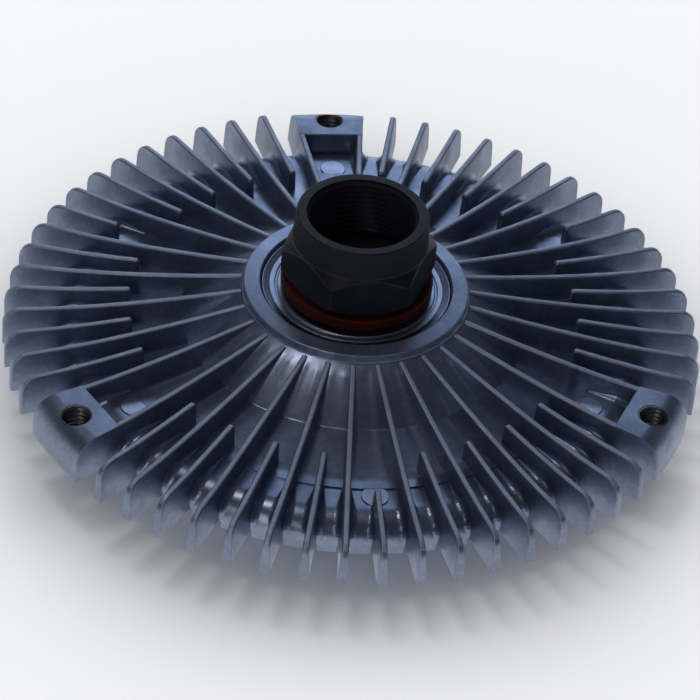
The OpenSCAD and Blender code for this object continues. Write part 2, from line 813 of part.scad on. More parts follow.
finned_housing();
hub_shaft();
hub_dust_seal();
bearing_outer_ring();
bearing_inner_ring();
bearing_balls();
bearing_cage();
bearing_rear_shield();
bearing_front_shield();
rotor_disc();
front_cover();
cover_seal();
reservoir_plate();
pump_dam();
valve_lever();
valve_rivet();
actuating_pin();
pin_seal();
bimetal_strip();
fill_plug();
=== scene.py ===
"""Studio scene of a viscous fan clutch: finned die-cast housing, black threaded hub and sealed bearing.

Sizes in the classes are millimetres in the part's own frame. Z is the clutch's axis, the front cover's
fins stand on the floor at Z = 0, and +Y points at one of the three fan lugs.
"""

import json
import logging
import math
from collections.abc import Callable, Iterable, Sequence
from dataclasses import dataclass
from enum import Enum, IntEnum

import bmesh
import bpy
from bmesh.types import BMEdge, BMesh, BMVert
from bpy.types import Material, Node, NodeSocket, Object
from mathutils import Matrix, Vector


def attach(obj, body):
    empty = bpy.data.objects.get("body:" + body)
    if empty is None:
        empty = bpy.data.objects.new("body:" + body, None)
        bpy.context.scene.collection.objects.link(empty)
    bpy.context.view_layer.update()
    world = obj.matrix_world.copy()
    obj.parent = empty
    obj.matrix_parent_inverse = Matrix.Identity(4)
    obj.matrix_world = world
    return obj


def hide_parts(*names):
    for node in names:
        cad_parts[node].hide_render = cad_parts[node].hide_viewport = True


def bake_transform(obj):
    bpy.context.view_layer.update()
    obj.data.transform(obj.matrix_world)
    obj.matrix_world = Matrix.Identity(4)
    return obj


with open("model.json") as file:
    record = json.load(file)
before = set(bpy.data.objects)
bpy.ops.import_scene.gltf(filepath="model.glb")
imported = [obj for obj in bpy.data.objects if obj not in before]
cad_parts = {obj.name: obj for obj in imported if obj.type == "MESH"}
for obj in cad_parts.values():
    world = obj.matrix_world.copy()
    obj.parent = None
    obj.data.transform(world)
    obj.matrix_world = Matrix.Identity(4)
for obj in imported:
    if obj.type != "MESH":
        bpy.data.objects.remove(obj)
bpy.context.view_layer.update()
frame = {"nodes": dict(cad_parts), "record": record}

LOG = logging.getLogger("fan_clutch")
MM = 0.001
# Points closer than MERGE_MM become one, a point within ON_MM lies on a surface, and NEAR_MM is the
# margin of looser tests.
MERGE_MM = 1e-4
ON_MM = 0.01
NEAR_MM = 0.1
# An outer edge that turns by more than this counts as sharp.
SHARP_DEG = 40.0
# How much large faces count for the shading of the points on their edges.
FACE_WEIGHT = 80
# Share by which a finish's roughness varies to both sides.
ROUGH_SPREAD = 0.15

Point = tuple[float, float]
Colour = tuple[float, float, float]


class Body(Enum):
    """Bodies of the clutch that pieces ride on."""

    HOUSING = "housing"
    HUB = "hub"
    PIN = "pin"


class CastFace(IntEnum):
    """Material slots of the casting's faces."""

    SKIN = 0
    PAD = 1
    # Paler finish on the fin tops that face up: painted light.
    CREST = 2
    FIN = 3


class Hand(Enum):
    """Hand of a screw thread."""

    RIGHT = 1
    LEFT = -1


@dataclass(frozen=True)
class Corner:
    """Corner of an outline, in radius and height, with its rounding."""

    r: float
    z: float
    round: float = 0.0


def quarter_turn(parts: int) -> list[float]:
    """List the angles that cut a quarter turn into equal parts, in radians."""
    return [math.pi / 2 * i / parts for i in range(parts + 1)]


def rounded(corners: Sequence[Corner], steps: int) -> list[Point]:
    """Trace a closed outline with an arc in place of each rounded corner.

    Args:
        corners: Corners in order round the outline.
        steps: Straight steps in each arc.

    Returns:
        Points of the outline, in radius and height.
    """
    outline: list[Point] = []
    for index, corner in enumerate(corners):
        here = Vector((corner.r, corner.z))
        if corner.round == 0:
            outline.append(tuple(here))
            continue
        before = corners[index - 1]
        after = corners[(index + 1) % len(corners)]
        back = (Vector((before.r, before.z)) - here).normalized()
        ahead = (Vector((after.r, after.z)) - here).normalized()
        half = back.angle(ahead) / 2
        centre = here + (back + ahead).normalized() * corner.round / math.sin(half)
        start = here + back * corner.round / math.tan(half) - centre
        turn = math.pi - 2 * half
        if back.x * ahead.y - back.y * ahead.x > 0:
            turn = -turn
        outline += [tuple(centre + Matrix.Rotation(turn * i / steps, 2) @ start)
                    for i in range(steps + 1)]
    return outline


def lathe(outline: Sequence[Point], steps: int) -> BMesh:
    """Turn a closed outline once round the Z axis.

    Args:
        outline: Points of the half section, in radius and height.
        steps: Steps round the axis.

    Returns:
        Mesh of the turned solid.
    """
    bm = bmesh.new()
    verts = [bm.verts.new((r, 0, z)) for r, z in outline]
    edges = [bm.edges.new(pair) for pair in zip(verts, verts[1:] + verts[:1])]
    bmesh.ops.spin(bm, geom=verts + edges, axis=(0, 0, 1), angle=math.tau, steps=steps,
                   use_merge=True)
    bmesh.ops.remove_doubles(bm, verts=bm.verts, dist=MERGE_MM)
    bmesh.ops.dissolve_degenerate(bm, edges=bm.edges, dist=MERGE_MM)
    bmesh.ops.recalc_face_normals(bm, faces=bm.faces)
    return bm


def wedge(outline: Sequence[Point], half_angle: float, steps: int) -> BMesh:
    """Turn a closed outline through an angle on both sides of the X axis.

    Args:
        outline: Points of the section, in radius and height.
        half_angle: Half of the angle, in radians.
        steps: Steps through the angle.

    Returns:
        Closed mesh of the wedge.
    """
    bm = bmesh.new()
    face = bm.faces.new([bm.verts.new((r, 0, z)) for r, z in outline])
    bmesh.ops.rotate(bm, verts=bm.verts, matrix=Matrix.Rotation(-half_angle, 3, "Z"))
    bmesh.ops.spin(bm, geom=[face, *face.edges, *face.verts], axis=(0, 0, 1),
                   angle=2 * half_angle, steps=steps)
    bmesh.ops.remove_doubles(bm, verts=bm.verts, dist=MERGE_MM)
    bmesh.ops.recalc_face_normals(bm, faces=bm.faces)
    return bm


def soften(bm: BMesh, edges: Iterable[BMEdge], width: float, segments: int = 3) -> None:
    """Round some edges of a mesh over a width, with a number of faces across it."""
    bmesh.ops.bevel(bm, geom=list(edges), offset=width, affect="EDGES", segments=segments,
                    profile=0.5, material=-1, clamp_overlap=False)


def crest_edges(bm: BMesh, keep: Callable[[Vector], bool]) -> list[BMEdge]:
    """Find the sharp convex edges of a mesh whose middles pass a test.

    Args:
        bm: Mesh with its normals recalculated.
        keep: Test of an edge's middle.

    Returns:
        Edges that turn by more than SHARP_DEG.
    """
    bm.normal_update()
    sharp = math.radians(SHARP_DEG)
    return [edge for edge in bm.edges
            if edge.is_manifold and edge.calc_face_angle_signed() > sharp
            and keep((edge.verts[0].co + edge.verts[1].co) / 2)]


def add_copies(target: BMesh, source: BMesh, turns: Iterable[float]) -> None:
    """Add turned copies of a mesh to another one, then free it.

    Args:
        target: Mesh that gains the copies.
        source: Mesh that is copied.
        turns: Angle of each copy about the Z axis, in radians.
    """
    mesh = bpy.data.meshes.new("copy_source")
    source.to_mesh(mesh)
    source.free()
    for turn in turns:
        start = len(target.verts)
        target.from_mesh(mesh)
        target.verts.ensure_lookup_table()
        bmesh.ops.rotate(target, verts=target.verts[start:], matrix=Matrix.Rotation(turn, 3, "Z"))
    bpy.data.meshes.remove(mesh)


def make_piece(name: str, bm: BMesh, materials: Sequence[Material], smooth_deg: float) -> Object:
    """Turn a mesh in millimetres into an object in metres and free the mesh.

    Args:
        name: Name of the piece.
        bm: Mesh of the piece.
        materials: Materials for its faces, in the order of their numbers.
        smooth_deg: Edges that turn by more than this stay sharp.

    Returns:
        The new object, linked to the scene.
    """
    bmesh.ops.scale(bm, verts=bm.verts, vec=(MM, MM, MM))
    mesh = bpy.data.meshes.new(name)
    bm.to_mesh(mesh)
    bm.free()
    for material in materials:
        mesh.materials.append(material)
    mesh.shade_smooth()
    mesh.set_sharp_from_angle(angle=math.radians(smooth_deg))
    piece = bpy.data.objects.new(name, mesh)
    bpy.context.scene.collection.objects.link(piece)
    even = piece.modifiers.new("even_normals", "WEIGHTED_NORMAL")
    even.keep_sharp = True
    even.weight = FACE_WEIGHT
    LOG.info("%s: %d faces", name, len(mesh.polygons))
    return piece


def seat(piece: Object, body: Body, slot: str, *nodes: str) -> None:
    """Let a piece ride on its body and stand for solids.

    Args:
        piece: Finished piece.
        body: Body that carries it.
        slot: Material slot of the record, not used.
        nodes: Solids that it stands for.
    """
    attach(piece, body.value)
    if nodes:
        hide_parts(*nodes)


class NodeTree:
    """Shader nodes that are placed and joined one at a time."""

    def __init__(self, tree: bpy.types.NodeTree) -> None:
        """Start on a tree that may already hold nodes."""
        self.tree = tree

    def add(self, kind: str, **settings: object) -> Node:
        """Place a node.

        Args:
            kind: Type of the node, without its common prefix.
            settings: Properties of the node.

        Returns:
            The new node.
        """
        node = self.tree.nodes.new("ShaderNode" + kind)
        for name, value in settings.items():
            setattr(node, name, value)
        return node

    def join(self, source: NodeSocket, target: NodeSocket) -> None:
        """Join an output to an input."""
        self.tree.links.new(source, target)

    def noise(self, scale: float, detail: float) -> NodeSocket:
        """Place a noise on the piece's own coordinates.

        Args:
            scale: Scale in waves per metre.
            detail: Octaves of detail.

        Returns:
            The noise's value.
        """
        place = self.add("TexCoord")
        noise = self.add("TexNoise")
        noise.inputs["Scale"].default_value = scale
        noise.inputs["Detail"].default_value = detail
        self.join(place.outputs["Object"], noise.inputs["Vector"])
        return noise.outputs["Fac"]

    def polar(self) -> tuple[NodeSocket, NodeSocket, NodeSocket]:
        """Measure the place about the Z axis.

        Returns:
            Its angle about the axis, its distance from the axis and its height.
        """
        place = self.add("TexCoord")
        parts = self.add("SeparateXYZ")
        self.join(place.outputs["Object"], parts.inputs["Vector"])
        x, y = parts.outputs["X"], parts.outputs["Y"]
        square = self.math("ADD", self.math("MULTIPLY", x, x), self.math("MULTIPLY", y, y))
        return self.math("ARCTAN2", y, x), self.math("SQRT", square), parts.outputs["Z"]

    def radial_noise(self, per_radian: float, per_metre: float) -> NodeSocket:
        """Place a noise that is drawn out away from the Z axis.

        Args:
            per_radian: Waves in each radian about the axis.
            per_metre: Waves in each metre away from the axis.

        Returns:
            The noise's value.
        """
        angle, distance, _ = self.polar()
        place = self.add("CombineXYZ")
        self.join(self.math("MULTIPLY", angle, per_radian), place.inputs["X"])
        self.join(self.math("MULTIPLY", distance, per_metre), place.inputs["Y"])
        noise = self.add("TexNoise", noise_dimensions="2D")
        noise.inputs["Scale"].default_value = 1.0
        noise.inputs["Detail"].default_value = 0.0
        self.join(place.outputs["Vector"], noise.inputs["Vector"])
        return noise.outputs["Fac"]

    def spread(self, value: NodeSocket, low: float, high: float, to_low: float = 0.0,
               to_high: float = 1.0) -> NodeSocket:
        """Map a value from one range to another, smoothly and within limits.

        Args:
            value: Value to map.
            low: Value that gives to_low.
            high: Value that gives to_high.
            to_low: Result at low.
            to_high: Result at high.

        Returns:
            The mapped value.
        """
        node = self.add("MapRange", interpolation_type="SMOOTHSTEP")
        limits = {"From Min": low, "From Max": high, "To Min": to_low, "To Max": to_high}
        for name, number in limits.items():
            node.inputs[name].default_value = number
        self.join(value, node.inputs["Value"])
        return node.outputs["Result"]

    def math(self, operation: str, *values: NodeSocket | float) -> NodeSocket:
        """Place a math node.

        Args:
            operation: Its operation.
            values: Sockets or numbers for its inputs.

        Returns:
            The result.
        """
        node = self.add("Math", operation=operation)
        for socket, value in zip(node.inputs, values):
            if isinstance(value, NodeSocket):
                self.join(value, socket)
            else:
                socket.default_value = value
        return node.outputs["Value"]

    def mix(self, share: NodeSocket, first: NodeSocket | Colour,
            second: NodeSocket | Colour) -> NodeSocket:
        """Blend two colours.

        Args:
            share: Share of the second colour.
            first: First colour, a socket or a value.
            second: Second colour, a socket or a value.

        Returns:
            The blended colour.
        """
        node = self.add("Mix", data_type="RGBA")
        self.join(share, node.inputs["Factor"])
        colour_sockets = [socket for socket in node.inputs if socket.type == "RGBA"]
        for socket, colour in zip(colour_sockets, (first, second)):
            if isinstance(colour, NodeSocket):
                self.join(colour, socket)
            else:
                socket.default_value = (*colour, 1)
        return next(socket for socket in node.outputs if socket.type == "RGBA")


class EffectGroup:
    """Shader node group with named inputs and outputs."""

    def __init__(self, name: str, inputs: dict[str, float | Colour], outputs: dict[str, str]) -> None:
        """Make an empty group.

        Args:
            name: Name of the group.
            inputs: Name and first value of each input.
            outputs: Name and socket type of each output.
        """
        self.tree = bpy.data.node_groups.new(name, "ShaderNodeTree")
        for label, value in inputs.items():
            kind = "NodeSocketFloat" if isinstance(value, float) else "NodeSocketColor"
            socket = self.tree.interface.new_socket(label, in_out="INPUT", socket_type=kind)
            socket.default_value = self.socket_value(value)
        for label, kind in outputs.items():
            self.tree.interface.new_socket(label, in_out="OUTPUT", socket_type=kind)
        self.nodes = NodeTree(self.tree)
        self.given = self.tree.nodes.new("NodeGroupInput").outputs
        self.result = self.tree.nodes.new("NodeGroupOutput").inputs

    @staticmethod
    def socket_value(value: float | Colour) -> float | tuple[float, ...]:
        """Give a number as it is, and a colour with its alpha."""
        return value if isinstance(value, float) else (*value, 1)

    def place(self, nodes: NodeTree, **values: float | Colour) -> Node:
        """Place the group in a material.

        Args:
            nodes: Node tree of the material.
            values: Input values by name, with underscores for spaces.

        Returns:
            The group's node.
        """
        node = nodes.add("Group", node_tree=self.tree)
        for label, value in values.items():
            node.inputs[label.replace("_", " ")].default_value = self.socket_value(value)
        return node


def cast_skin_group() -> EffectGroup:
    """Make the effect of a die-cast skin: mottling, a fine grain, and drawn streaks on the dome.

    Returns:
        Group that puts out a colour, a roughness and a height.
    """
    group = EffectGroup(
        "cast_skin",
        {"Colour": (0.5, 0.5, 0.5), "Pale": (0.7, 0.7, 0.7), "Dull": 0.45, "Shiny": 0.3},
        {"Colour": "NodeSocketColor", "Roughness": "NodeSocketFloat", "Height": "NodeSocketFloat"})
    nodes = group.nodes
    blotch_share, speck_share, grain_share = 0.4, 0.35, 0.035
    _, distance, _ = nodes.polar()
    dome = nodes.math("MULTIPLY", nodes.spread(distance, low=0.028, high=0.031),
                      nodes.spread(distance, low=0.058, high=0.055))
    streak = nodes.math("MULTIPLY", nodes.radial_noise(per_radian=14.0, per_metre=12.0), dome)
    blotch = nodes.spread(nodes.noise(scale=110.0, detail=4.0), low=0.42, high=0.66)
    speck = nodes.spread(nodes.noise(scale=800.0, detail=2.0), low=0.48, high=0.7)
    mottled = nodes.math("ADD", nodes.math("MULTIPLY", blotch, blotch_share),
                         nodes.math("MULTIPLY", speck, speck_share))
    nodes.join(nodes.mix(mottled, group.given["Colour"], group.given["Pale"]), group.result["Colour"])
    wear = nodes.add("Mix", data_type="FLOAT")
    worn = nodes.spread(nodes.noise(scale=140.0, detail=3.0), low=0.35, high=0.65)
    nodes.join(worn, wear.inputs["Factor"])
    nodes.join(group.given["Dull"], wear.inputs["A"])
    nodes.join(group.given["Shiny"], wear.inputs["B"])
    nodes.join(wear.outputs["Result"], group.result["Roughness"])
    grain = nodes.math("MULTIPLY", nodes.noise(scale=1500.0, detail=2.0), grain_share)
    nodes.join(nodes.math("ADD", streak, grain), group.result["Height"])
    return group


def turned_group() -> EffectGroup:
    """Make the effect of a turned face: fine rings round the axis with slow changes along them.

    Returns:
        Group that puts out a mask of the rings and a height.
    """
    group = EffectGroup("turned_marks", {"Rings per metre": 3000.0},
                        {"Mask": "NodeSocketFloat", "Height": "NodeSocketFloat"})
    nodes = group.nodes
    _, distance, height = nodes.polar()
    along = nodes.math("ADD", distance, height)
    rings = nodes.add("TexNoise", noise_dimensions="1D")
    rings.inputs["Detail"].default_value = 2.0
    nodes.join(along, rings.inputs["W"])
    nodes.join(group.given["Rings per metre"], rings.inputs["Scale"])
    patches = nodes.spread(nodes.noise(scale=120.0, detail=2.0), low=0.35, high=0.7, to_low=0.4)
    ridges = nodes.spread(rings.outputs["Fac"], low=0.4, high=0.65)
    nodes.join(nodes.math("MULTIPLY", ridges, patches), group.result["Mask"])
    nodes.join(rings.outputs["Fac"], group.result["Height"])
    return group


CAST_SKIN = cast_skin_group()
TURNED = turned_group()


def principled(name: str, metallic: float, specular: float = 0.5) -> tuple[Material, NodeTree, Node]:
    """Start a material on its Principled shader.

    Args:
        name: Name of the material.
        metallic: Metallic value.
        specular: Specular level.

    Returns:
        The material, its node tree and its shader.
    """
    material = bpy.data.materials.new(name)
    material.use_nodes = True
    nodes = NodeTree(material.node_tree)
    shader = material.node_tree.nodes["Principled BSDF"]
    shader.inputs["Metallic"].default_value = metallic
    shader.inputs["Specular IOR Level"].default_value = specular
    return material, nodes, shader


def add_bump(nodes: NodeTree, shader: Node, height: NodeSocket, depth_mm: float) -> None:
    """Feed a height to a shader's normal.

    Args:
        nodes: Node tree of the material.
        shader: Shader whose normal is set.
        height: Height from 0 to 1.
        depth_mm: Depth of the full height.
    """
    bump = nodes.add("Bump")
    bump.inputs["Distance"].default_value = depth_mm * MM
    nodes.join(height, bump.inputs["Height"])
    nodes.join(bump.outputs["Normal"], shader.inputs["Normal"])


@dataclass(frozen=True)
class CastFinish:
    """Die-cast metal with a grained skin."""

    name: str
    colour: Colour
    pale: Colour
    dull: float = 0.34
    shiny: float = 0.28
    metallic: float = 0.88
    grain_mm: float = 0.25

    def material(self) -> Material:
        """Build the material.

        Returns:
            New material with the finish's name.
        """
        material, nodes, shader = principled(self.name, self.metallic)
        skin = CAST_SKIN.place(nodes, Colour=self.colour, Pale=self.pale, Dull=self.dull,
                               Shiny=self.shiny)
        nodes.join(skin.outputs["Colour"], shader.inputs["Base Color"])
        nodes.join(skin.outputs["Roughness"], shader.inputs["Roughness"])
        add_bump(nodes, shader, skin.outputs["Height"], self.grain_mm)
        return material


@dataclass(frozen=True)
class TurnedFinish:
    """Metal turned on a lathe, with fine rings round the axis."""

    name: str
    colour: Colour
    pale: Colour
    roughness: float = 0.3
    metallic: float = 1.0
    rings_per_m: float = 3000.0
    ring_mm: float = 0.004

    def material(self) -> Material:
        """Build the material.

        Returns:
            New material with the finish's name.
        """
        material, nodes, shader = principled(self.name, self.metallic)
        marks = TURNED.place(nodes, Rings_per_metre=self.rings_per_m)
        mask = marks.outputs["Mask"]
        nodes.join(nodes.mix(mask, self.colour, self.pale), shader.inputs["Base Color"])
        rough = nodes.spread(mask, low=0.0, high=1.0, to_low=self.roughness * (1 + ROUGH_SPREAD),
                             to_high=self.roughness * (1 - ROUGH_SPREAD))
        nodes.join(rough, shader.inputs["Roughness"])
        add_bump(nodes, shader, marks.outputs["Height"], self.ring_mm)
        return material


@dataclass(frozen=True)
class PlainFinish:
    """Coating, rubber or sheet metal with an even grain."""

    name: str
    colour: Colour
    pale: Colour
    roughness: float
    metallic: float = 0.0
    specular: float = 0.5
    grain_per_m: float = 1200.0
    grains_per_cloud: float = 12.0
    grain_mm: float = 0.01

    def material(self) -> Material:
        """Build the material.

        Returns:
            New material with the finish's name.
        """
        material, nodes, shader = principled(self.name, self.metallic, self.specular)
        grain = nodes.noise(self.grain_per_m, detail=3.0)
        clouds = nodes.noise(self.grain_per_m / self.grains_per_cloud, detail=3.0)
        cloud = nodes.spread(clouds, low=0.4, high=0.7)
        nodes.join(nodes.mix(cloud, self.colour, self.pale), shader.inputs["Base Color"])
        rough = nodes.spread(grain, low=0.3, high=0.7, to_low=self.roughness * (1 - ROUGH_SPREAD),
                             to_high=self.roughness * (1 + ROUGH_SPREAD))
        nodes.join(rough, shader.inputs["Roughness"])
        add_bump(nodes, shader, grain, self.grain_mm)
        return material


FINISHES: dict[str, CastFinish | TurnedFinish | PlainFinish] = {
    "housing_casting": CastFinish("housing_casting", (0.245, 0.285, 0.385), (0.37, 0.425, 0.55)),
    "cover_casting": CastFinish("cover_casting", (0.24, 0.285, 0.38), (0.34, 0.395, 0.51)),
    "black_steel": PlainFinish("black_steel", (0.011, 0.0115, 0.019), (0.0185, 0.0195, 0.031), 0.42,
                               specular=0.24),
    "red_elastomer": PlainFinish("red_elastomer", (0.044, 0.0052, 0.0009), (0.074, 0.0105, 0.0016), 0.5,
                                 specular=0.14),
    "bearing_steel": TurnedFinish("bearing_steel", (0.24, 0.28, 0.37), (0.36, 0.41, 0.52)),
    "shield_steel": TurnedFinish("shield_steel", (0.36, 0.41, 0.52), (0.48, 0.54, 0.67), 0.34),
    "cage_brass": PlainFinish("cage_brass", (0.5, 0.36, 0.14), (0.62, 0.47, 0.22), 0.35, 1.0),
    "machined_aluminium": TurnedFinish("machined_aluminium", (0.55, 0.57, 0.6), (0.7, 0.72, 0.75)),
    "sheet_steel": PlainFinish("sheet_steel", (0.42, 0.43, 0.46), (0.55, 0.56, 0.58), 0.36, 1.0),
    "bimetal": PlainFinish("bimetal", (0.44, 0.38, 0.28), (0.54, 0.48, 0.36), 0.34, 1.0),
    "black_rubber": PlainFinish("black_rubber", (0.012, 0.012, 0.012), (0.022, 0.022, 0.022), 0.6),
}
CAST_FACES: dict[CastFace, CastFinish] = {
    CastFace.SKIN: FINISHES["housing_casting"],
    CastFace.PAD: CastFinish("ejector_pad", (0.4, 0.455, 0.58), (0.5, 0.555, 0.68), 0.36, 0.26),
    # Fin tops that face up: paler than the fin sides as painted light on them, and rougher.
    CastFace.CREST: CastFinish("fin_top_painted_light", (0.45, 0.5, 0.61), (0.58, 0.63, 0.74), 0.58, 0.48,
                               metallic=0.65, grain_mm=0.02),
    CastFace.FIN: CastFinish("fin_side", (0.245, 0.285, 0.385), (0.37, 0.425, 0.55), 0.44, 0.36,
                             metallic=0.86),
}
# Threads in the lug holes, darker and greyer than the casting: painted shade inside the holes.
SHADED_THREAD_FINISH = CastFinish("cut_thread_painted_shade", (0.13, 0.125, 0.13), (0.22, 0.21, 0.21), 0.4, 0.3)


@dataclass
class FinnedHousing:
    """Rear housing: turned body, radial fins, fan lugs, rim tabs and ejector pads."""

    z_fin: float = 13.0
    fin_r: float = 85.0
    fin_h: float = 10.2
    fin_inner_h: float = 16.4
    fin_corner: float = 4.2
    fin_root_t: float = 2.5
    fin_tip_t: float = 1.45
    fin_edge: float = 0.4
    fin_nose: float = 0.9
    fin_rise: float = 1.6
    fin_station: float = 5.0
    fin_sink: float = 1.0
    fin_least_h: float = 0.4
    fin_lap: float = 0.2
    lit_top_slope: float = 0.75
    fin_foot_r: float = 72.0
    fin_places: int = 60
    lug_count: int = 3
    short_fin_r: float = 54.3
    stub_fin_r: float = 65.0
    cove: float = 0.3
    wall_cove: float = 1.8
    cove_reach: float = 7.0
    cove_fade: float = 4.0
    cove_start: float = 0.4
    cove_least: float = 0.5
    cove_sink: float = 0.02
    cove_back: float = 0.3
    wall_r: float = 73.0
    wall_fall: float = 5.2
    wall_reach: float = 6.8
    ring_z: float = 19.2
    step_r: float = 60.2
    step_h: float = 0.4
    step_band: float = 4.4
    step_round: float = 40.0
    crease_r: float = 42.0
    crease_z: float = 21.4
    crease_round: float = 0.9
    dome_bulge: float = 0.4
    boss_r: float = 27.2
    boss_flare: float = 0.2
    boss_foot_z: float = 29.3
    boss_fillet: float = 0.4
    boss_z: float = 31.8
    boss_fall: float = 0.35
    boss_edge: float = 0.25
    lip_r: float = 23.1
    lip_chamfer: float = 0.4
    lip_edge: float = 0.15
    lip_depth: float = 1.35
    lip_slope: float = 0.45
    bearing_r: float = 23.55
    bearing_shelf: float = 2.0
    bearing_z: float = 19.0
    ceiling_z: float = 17.2
    chamber_r: float = 66.5
    rim_in_r: float = 69.4
    seat_z: float = 14.6
    crimp_r: float = 68.2
    rim_z: float = 11.0
    rim_gap: float = 3.1
    rim_edge_in: float = 0.2
    rim_edge_out: float = 0.3
    lug_hole_r: float = 78.35
    lug_out_r: float = 84.7
    lug_in_r: float = 71.6
    lug_top: float = 10.6
    lug_drop: float = 0.2
    lug_round: float = 6.0
    lug_edge: float = 0.35
    lug_foot_edge: float = 0.3
    lug_side: float = 0.55
    lug_lap: float = 0.05
    screw_r: float = 3.6
    screw_core_r: float = 3.1
    screw_mouth: float = 0.12
    screw_pitch: float = 1.25
    drill_past: float = 2.0
    pad_r: float = 3.2
    pad_circle_r: float = 62.5
    pad_h: float = 0.3
    pad_sink: float = 1.0
    pad_edge: float = 0.12
    body_steps: int = 240
    hole_steps: int = 40
    lug_steps: int = 10
    tab_steps: int = 4
    dome_parts: int = 8
    wall_parts: int = 10
    flat_parts: int = 4
    cove_parts: int = 5
    corner_parts: int = 6
    nose_parts: int = 3
    edge_parts: int = 3
    arc_parts: int = 8
    smooth_deg: float = 45.0
    thread_smooth_deg: float = 60.0

    @property
    def fin_step(self) -> float:
        """Angle from one fin place to the next, in radians."""
        return math.tau / self.fin_places

    @property
    def lug_pitch(self) -> int:
        """Fin places from one lug to the next."""
        return self.fin_places // self.lug_count

    def angle(self, place: float) -> float:
        """Give the angle of a fin place, counted clockwise from the lug on +Y."""
        return math.pi / 2 - place * self.fin_step

    def body_corners(self) -> list[Corner]:
        """Follow the body's half section, the seen side first.

        Returns:
            Corners of the closed section.
        """
        step_top = self.ring_z + self.step_h
        lip_foot = self.boss_z - self.lip_depth
        shelf_r = self.bearing_r - self.bearing_shelf
        return [
            Corner(self.lip_r, self.boss_z - self.lip_chamfer),
            Corner(self.lip_r + self.lip_chamfer, self.boss_z, self.lip_edge),
            Corner(self.boss_r, self.boss_z - self.boss_fall, self.boss_edge),
            Corner(self.boss_r + self.boss_flare, self.boss_foot_z, self.boss_fillet),
            *self.dome_corners(),
            Corner(self.crease_r, self.crease_z, self.crease_round),
            Corner(self.step_r - self.step_band, step_top, self.step_round),
            Corner(self.step_r, step_top),
            Corner(self.step_r, self.ring_z),
            *(Corner(*place) for place, _ in self.wall_curve()),
            Corner(self.wall_r, self.z_fin),
            Corner(self.rim_in_r, self.z_fin),
            Corner(self.rim_in_r, self.seat_z),
            Corner(self.chamber_r, self.seat_z),
            Corner(self.chamber_r, self.ceiling_z),
            Corner(shelf_r, self.ceiling_z),
            Corner(shelf_r, self.bearing_z),
            Corner(self.bearing_r, self.bearing_z),
            Corner(self.bearing_r, lip_foot - self.lip_slope),
            Corner(self.lip_r, lip_foot),
        ]

    def dome_corners(self) -> list[Corner]:
        """Follow the slightly convex dome from the boss's foot to the crease.

        Returns:
            Corners between the two, without rounding.
        """
        foot_r = self.boss_r + self.boss_flare
        corners = []
        for share in (i / self.dome_parts for i in range(1, self.dome_parts)):
            straight_z = self.boss_foot_z + (self.crease_z - self.boss_foot_z) * share
            bulge = 4 * self.dome_bulge * share * (1 - share)
            corners.append(Corner(foot_r + (self.crease_r - foot_r) * share, straight_z + bulge))
        return corners

    def wall_curve(self) -> list[tuple[Vector, Vector]]:
        """Trace the long rounding from the flat ring over to the wall.

        Returns:
            Place on the rounding and direction away from the body.
        """
        curve = []
        for turn in quarter_turn(self.wall_parts):
            place = Vector((self.wall_r - self.wall_reach * (1 - math.sin(turn)),
                            self.ring_z - self.wall_fall * (1 - math.cos(turn))))
            away = Vector((math.sin(turn) / self.wall_reach, math.cos(turn) / self.wall_fall))
            curve.append((place, away.normalized()))
        return curve

    def surface_z(self, r: float) -> float:
        """Give the height of the body's upper surface.

        Args:
            r: Distance from the axis.

        Returns:
            Height in millimetres.
        """
        seen = rounded(self.body_corners(), self.arc_parts)
        for (r0, z0), (r1, z1) in zip(seen, seen[1:]):
            if r0 <= r <= r1 and r1 > r0:
                return z0 + (z1 - z0) * (r - r0) / (r1 - r0)
        return self.ring_z

    def fin_top(self, r: float) -> float:
        """Give the height of a fin's top edge.

        Args:
            r: Distance from the axis.

        Returns:
            Height above the fins' lower edge.
        """
        round_r = self.fin_r - self.fin_corner
        rise = max(0.0, (round_r - r) / (round_r - self.boss_r))
        return self.fin_h + (self.fin_inner_h - self.fin_h) * rise ** self.fin_rise

    def half_t(self, z: float) -> float:
        """Give half the thickness of a fin at a height above its lower edge."""
        share = min(max(z / self.fin_h, 0.0), 1.0)
        return (self.fin_root_t + (self.fin_tip_t - self.fin_root_t) * share) / 2

    def fin_stations(self, start_r: float) -> list[Point]:
        """List the top edge's points from the wall inwards, with the nose of a short fin rounded.

        Args:
            start_r: Distance of the fin's inner end from the axis.

        Returns:
            Radius and height above the lower edge.
        """
        end_r = start_r + self.fin_nose
        count = max(2, round((self.fin_foot_r - end_r) / self.fin_station))
        radii = [self.fin_foot_r + (end_r - self.fin_foot_r) * i / count for i in range(1, count + 1)]
        line = [(r, self.fin_top(r)) for r in radii]
        if start_r > self.boss_r:
            nose = Vector((end_r, self.fin_top(end_r) - self.fin_nose))
            line += [(nose.x - self.fin_nose * math.sin(a), nose.y + self.fin_nose * math.cos(a))
                     for a in quarter_turn(self.nose_parts)[1:]]
        return line

